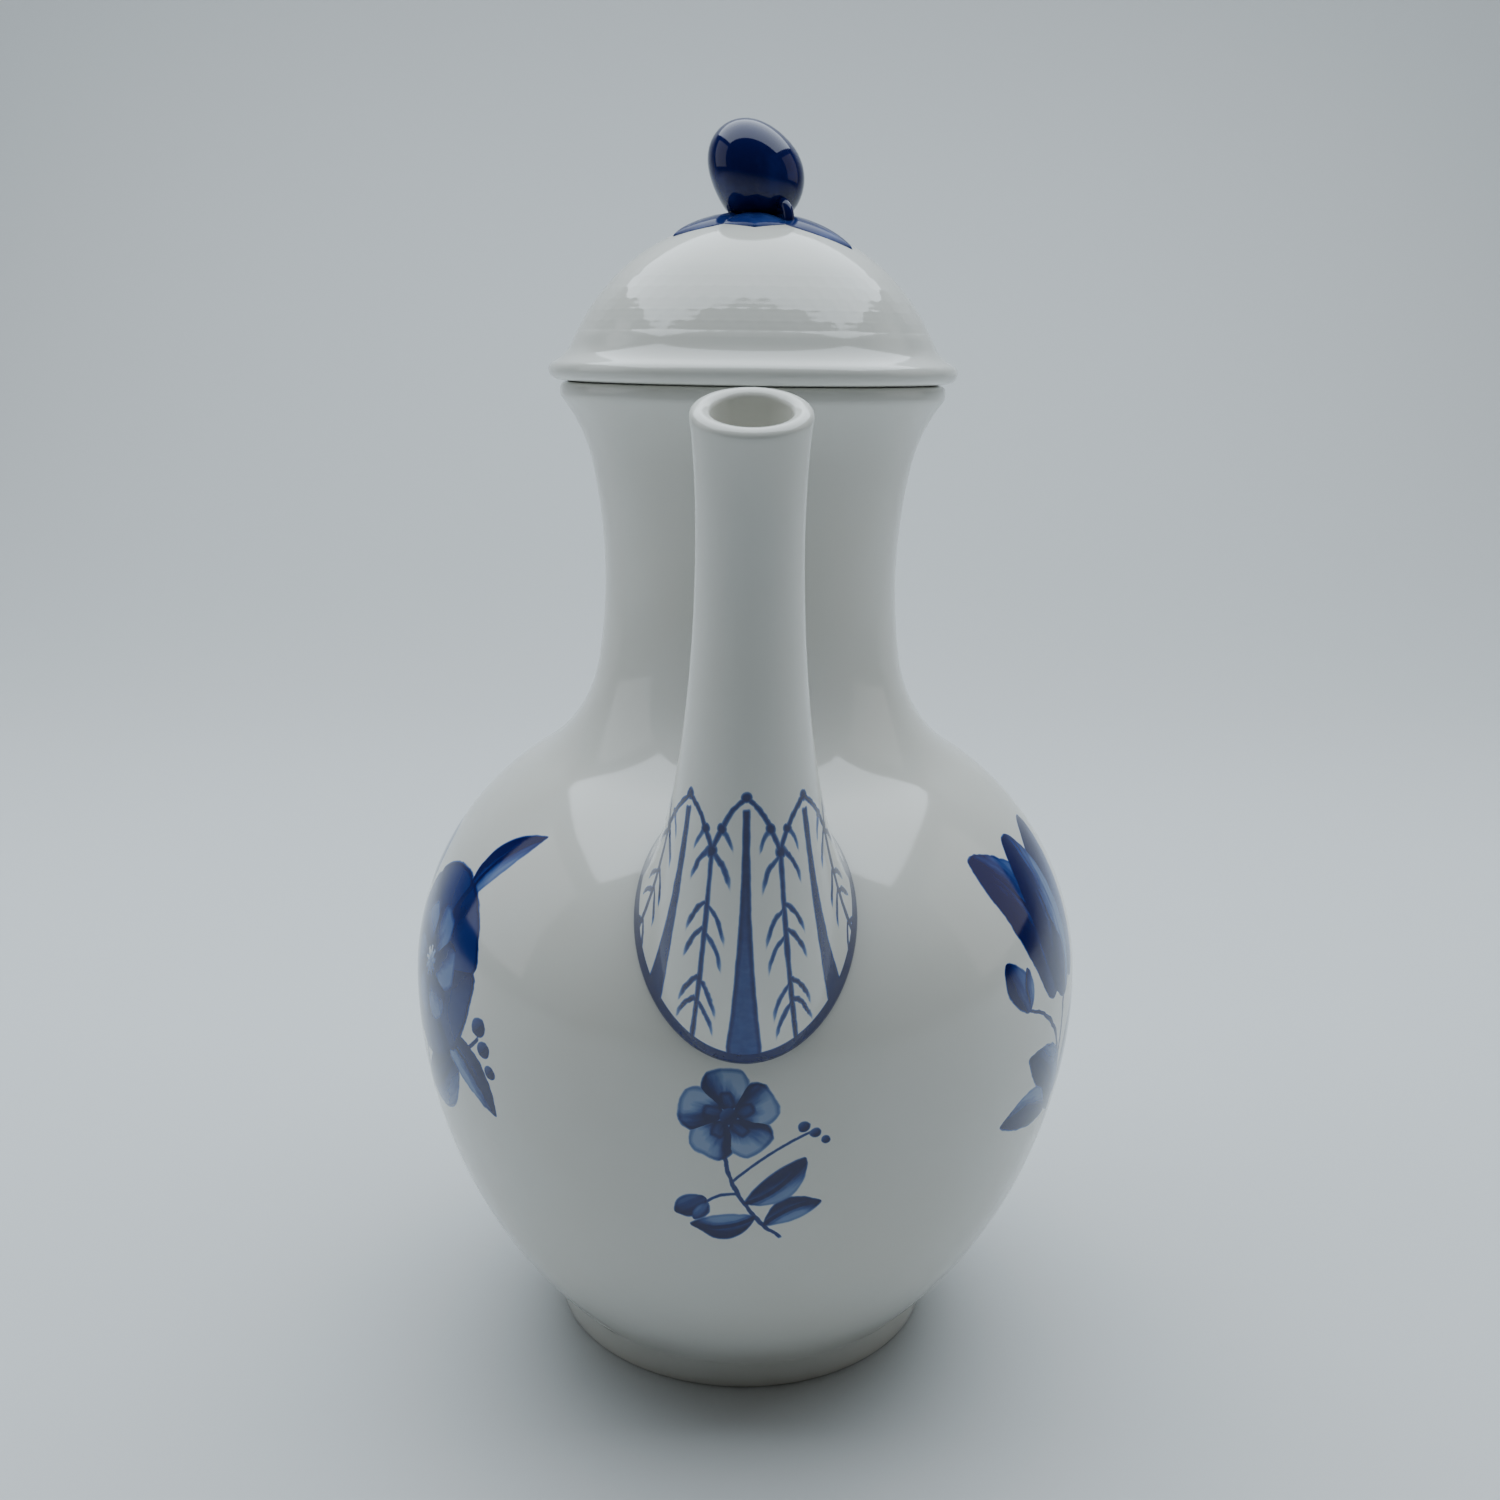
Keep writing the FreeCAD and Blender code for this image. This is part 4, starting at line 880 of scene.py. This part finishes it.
class Painting:
    """Brush strokes in a flat frame on the surface: p to the right and q up, in millimetres. Each stroke
    lays ink over what is there, and the ink's strength, 0 to 1, becomes the colour."""

    def __init__(self, finish, azimuth, height):
        self.finish = finish
        turned = finish.node("Mapping", {"vector_type": "TEXTURE"},
                             {"Vector": finish.place(), "Rotation": (0.0, 0.0, radians(azimuth)),
                              "Location": (0.0, 0.0, height * MM), "Scale": (MM, MM, MM)})
        x, _, z = finish.parts(turned)
        shake = finish.noise(turned, 0.35) - 0.5
        self.flat = finish.node("CombineXYZ", inputs=[x + shake * 0.9, z + shake * 0.7, 0.0])
        self.streak = finish.noise(turned, 0.9, 3.0)
        self.ink = 0.0

    def frame(self, p, q, turn):
        """Numbers along and across a stroke that starts at a place and heads at an angle in degrees."""
        local = self.finish.node("Mapping", {"vector_type": "TEXTURE"},
                                 {"Vector": self.flat, "Location": (p, q, 0.0),
                                  "Rotation": (0.0, 0.0, radians(turn))})
        along, across, _ = self.finish.parts(local)
        return along, across

    def lay(self, cover, strength):
        """Ink of a strength over what is there, by a cover of 0 to 1."""
        self.ink = self.finish.blend(cover, self.ink, strength)

    def bristles(self, along, across):
        """Streaks that the brush leaves along its way."""
        way = self.finish.node("CombineXYZ", inputs=[along, across, 0.0])
        return self.finish.noise(way, 1.0) - 0.5

    def leaf(self, p, q, turn, length, width, pale, dark=1.0, bow=0.0, point=0.9, vein=True):
        """A pointed stroke: half width = width / 2 * (4 t (1 - t)) ^ point, dark to one side and washed out
        to the other, darker towards its tip, bowed by a share of its length, with a vein along its middle."""
        along, across = self.frame(p, q, turn)
        t = (along / length).clip()
        hump = t * (1 - t) * 4
        across = across - hump * (bow * length)
        half = (hump ** point) * (width / 2)
        depth = half - abs(across)
        cover = depth.smooth(-0.25, 0.35) * hump.smooth(0.0, 0.06)
        side = (across / width + 0.5).clip()
        wash = side * 1.1 - 0.1 + (t ** 3) * 0.35 + self.bristles(along * 0.12, across * 0.7) * 0.7
        if vein:
            wash = wash + abs(across).smooth(0.6, 0.1) * 0.4
        tone = pale + (dark - pale) * wash.smooth(0.1, 0.8) + depth.smooth(0.8, 0.1) * 0.15
        self.lay(cover, tone.clip())

    def petals(self, p, q, count, radius, width, pale, turn=0.0, heart=0.28, notch=0.0):
        """A ring of round petals: the angle is folded into one petal's sector, then each is a stroke from the
        heart outwards, dark at its root and along its edges, with the brush's streaks running outwards."""
        along, across = self.frame(p, q, turn)
        reach = (along * along + across * across) ** 0.5
        sector = 2 * pi / count
        angle = across.math("ARCTAN2", along)
        folded = (angle + pi) % sector - sector / 2
        out = reach * folded.math("COSINE")
        aside = reach * folded.math("SINE")
        t = ((out - radius * heart * 0.5) / (radius * (1 - heart * 0.5))).clip()
        half = ((t * (1.12 - t) * 3.2) ** 0.62) * (width / 2)
        depth = (half - abs(aside)).math("MINIMUM", radius - notch * folded.math("COSINE") - reach)
        cover = depth.smooth(-0.25, 0.4)
        wash = ((1 - t) ** 1.5) * 0.8 + (aside / width) * 0.9 + self.bristles(angle * 3.0, reach * 0.1) * 0.7
        tone = pale + (1 - pale) * wash.smooth(0.05, 0.65) + depth.smooth(1.0, 0.1) * 0.28
        self.lay(cover, tone.clip())

    def dot(self, p, q, radius, strength):
        """A round dab that is paler to its upper left."""
        along, across = self.frame(p, q, 0.0)
        reach = (along * along + across * across) ** 0.5
        cover = reach.smooth(radius + 0.15, radius - 0.2)
        shade = (along - across) * (0.25 / radius) + strength
        self.lay(cover, shade.clip())

    def stem(self, p, q, turn, length, bow, width, strength):
        """A thin bowed stroke: its middle line rises by bow * 4 t (1 - t) of its length."""
        along, across = self.frame(p, q, turn)
        t = along / length
        middle = t * (1 - t) * (4 * bow * length)
        half = width / 2 * (0.55 + 0.45 * self.streak)
        cover = (half - abs(across - middle)).smooth(-0.12, 0.16) * (t * (1 - t)).smooth(0.0, 0.03)
        self.lay(cover, strength)


# How far each painted field reaches to the sides of its middle, down from it and up
FRONT_FIELD = (22.0, 24.0, 22.0)
FLANK_FIELD = (40.0, 38.0, 40.0)
FRONT_HEIGHT = 66.0


def front_sprig():
    """A five-petalled blossom on a curved stem with leaves, berries and a hanging bud, under the spout."""
    finish = Finish("painted_front")
    art = Painting(finish, 0.0, FRONT_HEIGHT)
    art.stem(7.0, -17.0, 118.0, 22.0, 0.10, 1.0, 0.8)
    art.stem(-0.7, -7.1, 203.0, 6.4, -0.12, 0.75, 0.75)
    art.stem(-1.7, -4.7, 36.0, 16.5, 0.05, 0.65, 0.75)
    art.leaf(3.7, -13.9, 25.0, 11.0, 5.2, bow=0.1, pale=0.25)
    art.leaf(0.3, -9.3, 42.0, 14.0, 5.8, bow=-0.1, pale=0.25)
    art.leaf(2.5, -12.0, 190.0, 11.5, 5.6, bow=0.12, pale=0.25)
    art.leaf(-6.2, -8.2, 215.0, 6.4, 4.6, pale=0.6, vein=False, point=0.7)
    art.leaf(-5.6, -9.2, 236.0, 4.6, 2.4, dark=0.8, pale=0.3, vein=False)
    art.petals(-2.4, 8.0, 5, 8.6, 8.2, pale=0.2, turn=24.0)
    art.petals(-2.4, 8.0, 5, 4.6, 2.8, pale=0.7, turn=24.0)
    art.dot(-2.4, 8.0, 1.5, 0.95)
    for step in range(3):
        art.dot(10.3 + 1.8 * step, 6.0 - 1.4 * step, 1.0 - 0.1 * step, 0.85)
    return glaze(finish, art.ink)


FLANK_HEIGHT = 84.0
LEFT_AZIMUTH = -72.0
RIGHT_AZIMUTH = 72.0


def left_bouquet():
    """An open six-petalled flower over broad leaves, with berries on a bowed stalk, on the left side."""
    finish = Finish("painted_left")
    art = Painting(finish, LEFT_AZIMUTH, FLANK_HEIGHT)
    art.stem(2.0, -31.0, 82.0, 32.0, -0.08, 1.3, 0.9)
    art.stem(10.0, -14.0, 22.0, 22.0, -0.14, 1.0, 0.9)
    art.leaf(3.0, -23.0, 148.0, 25.0, 11.0, bow=0.1, pale=0.5)
    art.leaf(4.0, -26.0, 38.0, 25.0, 11.0, bow=-0.1, pale=0.45)
    art.leaf(-8.0, 10.0, 138.0, 16.0, 7.5, pale=0.4, bow=-0.1)
    art.leaf(17.0, -9.0, -34.0, 20.0, 8.0, pale=0.3, bow=0.12)
    art.leaf(15.0, 14.0, 58.0, 17.0, 6.5, pale=0.35, bow=0.12)
    art.petals(9.0, 1.0, 6, 19.0, 19.5, pale=0.8, turn=12.0, notch=0.8, heart=0.2)
    art.petals(9.0, 1.0, 6, 11.5, 9.2, pale=0.42, turn=42.0)
    art.dot(9.0, 1.0, 3.0, 0.3)
    art.petals(9.0, 1.0, 9, 4.2, 1.2, pale=0.9, heart=0.9)
    for step in range(3):
        art.dot(30.0 + 1.5 * step, -4.0 - 3.8 * step, 1.8 - 0.25 * step, 0.95)
    return glaze(finish, art.ink)


def right_bouquet():
    """A tall tulip between two long leaves, with a closed bud and a spray of berries, on the right side."""
    finish = Finish("painted_right")
    art = Painting(finish, RIGHT_AZIMUTH, FLANK_HEIGHT)
    art.stem(-8.0, -31.0, 88.0, 32.0, 0.05, 1.3, 0.9)
    art.stem(-9.0, -18.0, 132.0, 22.0, -0.12, 1.0, 0.9)
    art.stem(-6.0, -24.0, 43.0, 34.0, -0.12, 0.9, 0.85)
    art.leaf(-8.0, -29.0, 132.0, 24.0, 10.0, bow=-0.13, pale=0.4)
    art.leaf(-7.0, -26.0, 40.0, 28.0, 10.5, bow=0.13, pale=0.45)
    art.leaf(-12.0, -27.0, 166.0, 19.0, 8.0, bow=-0.12, pale=0.35)
    art.leaf(-13.0, -3.0, 108.0, 30.0, 15.0, pale=0.4, bow=-0.12, point=0.6)
    art.leaf(-2.0, -3.0, 72.0, 30.0, 15.0, pale=0.5, bow=0.12, point=0.6)
    art.leaf(-7.5, -5.0, 91.0, 31.0, 15.0, pale=0.3, point=0.55)
    art.leaf(-7.5, -4.0, 90.0, 14.0, 6.0, pale=0.75, vein=False)
    art.leaf(-23.5, -2.0, 112.0, 11.0, 6.5, pale=0.5, vein=False, point=0.7)
    art.leaf(-23.0, -1.5, 84.0, 7.5, 3.0, dark=0.9, pale=0.3, vein=False)
    for step in range(4):
        art.dot(17.0 + 2.2 * step, -2.0 + 3.8 * step * (1 - 0.12 * step), 1.7 - 0.2 * step, 0.9)
    return glaze(finish, art.ink)


COLLAR_ARCH = 8.0
ARCH_POINT = 0.55
ARCH_KNOT = 0.73
RIB_TOP = 2.0
RIB_LENGTH = 36.0
VEIN_NODES = (8.6, 16.6, 20.8, 28.4, 31.6)


def painted_collar():
    """Pointed leaves round the spout's root: an arched outline, a midrib that widens downwards, a stalk
    between each two leaves with drooping veins in pairs, dabs where lines meet and half way up each arch
    with a twig below, and a strong line along the root's edge."""
    finish = Finish("painted_collar")
    place = finish.node("Attribute", {"attribute_name": "collar_place"}, output="Vector")
    offset, below, edge = finish.parts(place)
    form = finish.node("Attribute", {"attribute_name": "collar_form"}, output="Vector")
    half, shift, border = finish.parts(form)
    here = finish.place()
    wobble = finish.noise(here, 260.0) - 0.5
    streak = finish.noise(here, 620.0)
    outer = abs(finish.parts(here)[0]).smooth(5.0 * MM, 9.0 * MM)
    below = below + wobble * 1.1
    side = offset * half + wobble * 0.4
    gap = abs(half - side)
    share = ((below - RIB_TOP) / RIB_LENGTH).clip()
    wedge = 0.55 + (2.5 - 0.8 * outer) * (share ** 2.2) - side
    rib = wedge.smooth(-0.25, 0.3) * below.smooth(RIB_TOP - 0.4, RIB_TOP + 0.3)
    wash = (0.3 - 0.26 * outer) * share.smooth(0.1, 0.7) * wedge.smooth(0.1, 1.0)
    rib_tone = 0.94 - wash + 0.2 * (streak - 0.5)
    lean = (ARCH_POINT + (1 - ARCH_POINT) * 3 * offset * offset) * COLLAR_ARCH / half
    rise = (ARCH_POINT * offset + (1 - ARCH_POINT) * (offset ** 3)) * COLLAR_ARCH
    line = (abs(below - rise) / ((1 + lean * lean) ** 0.5)).smooth(0.62, 0.1)
    stalk = gap.smooth(0.66, 0.1) * below.smooth(COLLAR_ARCH - 0.4, COLLAR_ARCH + 0.2)
    fine = line.math("MAXIMUM", stalk) * (0.66 + 0.3 * streak + 0.2 * outer)
    knot_low = (ARCH_POINT * ARCH_KNOT + (1 - ARCH_POINT) * ARCH_KNOT ** 3) * COLLAR_ARCH
    inward = ARCH_KNOT * half - side
    dabs = ((side, below, 1.0), (gap, below - COLLAR_ARCH, 1.3), (inward, below - knot_low, 0.9))
    for aside, down, size in dabs:
        dab = (aside * aside + down * down).smooth(size, 0.1)
        fine = fine.math("MAXIMUM", dab * 0.95)
    bent = below - knot_low - (inward.clip(0.0, 9.0) ** 1.4) * 1.3
    twig = (abs(bent) / 1.9).smooth(0.6, 0.1) * inward.smooth(-0.2, 0.1) * inward.smooth(2.2, 1.2)
    fine = fine.math("MAXIMUM", twig * 0.6)
    droop = below - shift - (gap ** 1.6) * 0.62
    steep = (1 + (gap ** 1.2) * 0.98) ** 0.5
    reach = gap.smooth(3.9, 2.6)
    for node in VEIN_NODES:
        vein = (abs(droop - node) / steep).smooth(0.58, 0.1) * reach
        fine = fine.math("MAXIMUM", vein * (0.55 + 0.3 * streak + 0.25 * outer))
    fine = fine * edge.smooth(0.6, 1.6)
    ink = fine.math("MAXIMUM", rib * rib_tone)
    ink = ink.math("MAXIMUM", (border - edge).smooth(-0.3, 0.2) * (0.84 + 0.2 * streak))
    return glaze(finish, ink)


def cobalt_glaze(name, deep, light, gloss):
    """Thick cobalt under a glaze of some gloss, paler where the glaze drew thin."""
    finish = Finish(name)
    place = finish.place()
    thin = finish.noise(place, 140.0, 3.0)
    finish.set(Base_Color=finish.tint(thin.smooth(0.45, 0.8), deep, light))
    ripple = finish.noise(place, 70.0, 1.0)
    bump = finish.node("Bump", inputs={"Strength": 0.3, "Distance": 0.0004, "Height": ripple})
    finish.set(Normal=bump, Roughness=0.04 + 0.05 * finish.noise(place, 90.0), IOR=1.5,
               Specular_IOR_Level=gloss)
    return finish.material


# Stage

CAMERA_DISTANCE = 291.6
CAMERA_HEIGHT = 197.1
CAMERA_ASIDE = 0.37
CAMERA_PITCH = radians(14.96)
CAMERA_ROLL = radians(0.76)
FLOOR_NEAR = -6000.0
FLOOR_SIDE = 5000.0
SWEEP_START = 500.0
SWEEP_ROUND = 500.0
WALL_LOW = 800.0
WALL_TOP = 2500.0
FLOOR_PALE = (0.58, 0.60, 0.605, 1.0)
FLOOR_PALER = (0.62, 0.635, 0.64, 1.0)
# Painted shade: the darker colour that the floor takes on behind the pot and up the wall
FLOOR_FAR_SHADE = (0.42, 0.43, 0.43, 1.0)


def make_camera():
    """A camera before the spout, pitched down and rolled a little."""
    camera = bpy.data.cameras.new("camera")
    camera.lens = 36.0
    camera.sensor_width = 36.0
    camera.clip_start = 0.01
    eye = bpy.data.objects.new("camera", camera)
    turn = Matrix.Rotation(pi / 2 - CAMERA_PITCH, 4, "X") @ Matrix.Rotation(CAMERA_ROLL, 4, "Z")
    place = Matrix.Translation((CAMERA_ASIDE * MM, -CAMERA_DISTANCE * MM, CAMERA_HEIGHT * MM))
    eye.matrix_world = place @ turn
    bpy.context.scene.collection.objects.link(eye)
    bpy.context.scene.camera = eye


def make_stage():
    """A pale floor that rises in one sweep into a wall: height follows a quarter round in the depth. Its
    colour darkens with the depth, a painted shade over the far floor and the wall.
    """
    flat, upright = 12, 6
    bend = np.linspace(0.0, pi / 2, 24)[1:]
    depth = np.concatenate([np.linspace(FLOOR_NEAR, SWEEP_START, flat),
                            SWEEP_START + SWEEP_ROUND * np.sin(bend),
                            np.full(upright, SWEEP_START + SWEEP_ROUND)])
    rise = np.concatenate([np.zeros(flat), SWEEP_ROUND * (1 - np.cos(bend)),
                           np.linspace(WALL_LOW, WALL_TOP, upright)])
    y, x = np.meshgrid(depth, np.linspace(-FLOOR_SIDE, FLOOR_SIDE, 9), indexing="ij")
    points = np.stack([x, y, rise[:, None] + 0 * x], -1).reshape(-1, 3)
    floor = add_mesh("floor", points, [sheet_of_quads(*y.shape)])
    finish = Finish("pale_floor")
    place = finish.place()
    _, depth, _ = finish.parts(place)
    cloud = finish.noise(place, 3.0, 3.0)
    pale = finish.tint(cloud, FLOOR_PALE, FLOOR_PALER)
    # Painted shade: the colour darkens with the depth behind the pot, over the sweep and up the wall
    finish.set(Base_Color=finish.tint(depth.smooth(0.1, 0.9), pale, FLOOR_FAR_SHADE), Roughness=0.45 + 0.1 * cloud)
    wear(floor, [finish.material])


def add_panel(name, place, target, size, power, colour):
    """A flat soft light at a place, turned to a target."""
    lamp = bpy.data.lights.new(name, "AREA")
    lamp.shape = "RECTANGLE"
    lamp.size, lamp.size_y = size
    lamp.energy = power
    lamp.color = colour
    panel = bpy.data.objects.new(name, lamp)
    heading = Matrix.Translation(place).to_translation() - Matrix.Translation(target).to_translation()
    panel.matrix_world = Matrix.Translation(place) @ heading.to_track_quat("Z", "Y").to_matrix().to_4x4()
    bpy.context.scene.collection.objects.link(panel)


def make_light():
    """A broad soft light above and behind, a smaller one on each side and a faint even glow."""
    world = bpy.data.worlds.new("studio")
    world.use_nodes = True
    background = world.node_tree.nodes["Background"]
    background.inputs["Color"].default_value = (0.84, 0.86, 0.84, 1.0)
    background.inputs["Strength"].default_value = 0.06
    bpy.context.scene.world = world
    add_panel("sky_panel", (0.0, 0.34, 1.05), (0.0, 0.34, 0.0), (1.8, 1.3), 29.0, (0.82, 0.92, 1.0))
    add_panel("left_panel", (-1.3, 0.1, 0.6), (0.0, 0.0, 0.12), (0.9, 0.9), 2.0, (0.93, 0.97, 1.0))
    add_panel("right_panel", (1.3, 0.2, 0.6), (0.0, 0.0, 0.12), (0.9, 0.9), 1.2, (1.0, 0.98, 0.95))


def make_pot():
    """The cast body with its three painted fields and its bare foot."""
    piece = lathe("pot_shell", soften(pot_profile(), 260), 256)
    x, y, z = faces_of(piece).T
    outside = np.hypot(x, y) > wall_radius(z) - POT_WALL / 2
    zones = np.zeros(len(x))
    fields = ((0.0, FRONT_HEIGHT, FRONT_FIELD), (LEFT_AZIMUTH, FLANK_HEIGHT, FLANK_FIELD),
              (RIGHT_AZIMUTH, FLANK_HEIGHT, FLANK_FIELD))
    for number, (azimuth, height, (reach, down, up)) in enumerate(fields, 1):
        turn = radians(azimuth)
        aside = x * cos(turn) + y * sin(turn)
        ahead = x * sin(turn) - y * cos(turn)
        level = (z > height - down) & (z < height + up)
        zones[outside & (np.abs(aside) < reach) & (ahead > 0) & level] = number
    zones[z < FOOT_BARE] = len(fields) + 1
    wear(piece, [WHITE, front_sprig(), left_bouquet(), right_bouquet(), bare_foot()], zones)
    return piece


WHITE = white_glaze()
DEEP = cobalt_glaze("cobalt_bud", (0.003, 0.006, 0.075, 1.0), (0.008, 0.018, 0.16, 1.0), 0.36)
BLUE = cobalt_glaze("cobalt_leaf", (0.010, 0.022, 0.12, 1.0), (0.05, 0.09, 0.27, 1.0), 0.1)

settle(make_pot(), ("pot_bowl", "pot_shoulder", "pot_neck"), "pot")
for make, nodes, body, slot, finish in (
        (make_spout, ("spout",), "pot", "white_glaze", painted_collar()),
        (make_handle, ("handle",), "pot", "white_glaze", WHITE),
        (make_lid, ("lid", "lid_brim"), "lid", "white_glaze", WHITE),
        (make_bud, ("knob",), "lid", "cobalt_glaze", DEEP),
        (make_stalk, ("knob_stalk",), "lid", "cobalt_glaze", DEEP),
        (make_leaves, ("lid_leaves",), "lid", "cobalt_glaze", BLUE)):
    piece = make()
    wear(piece, [finish])
    settle(piece, nodes, body)

make_camera()
make_stage()
make_light()
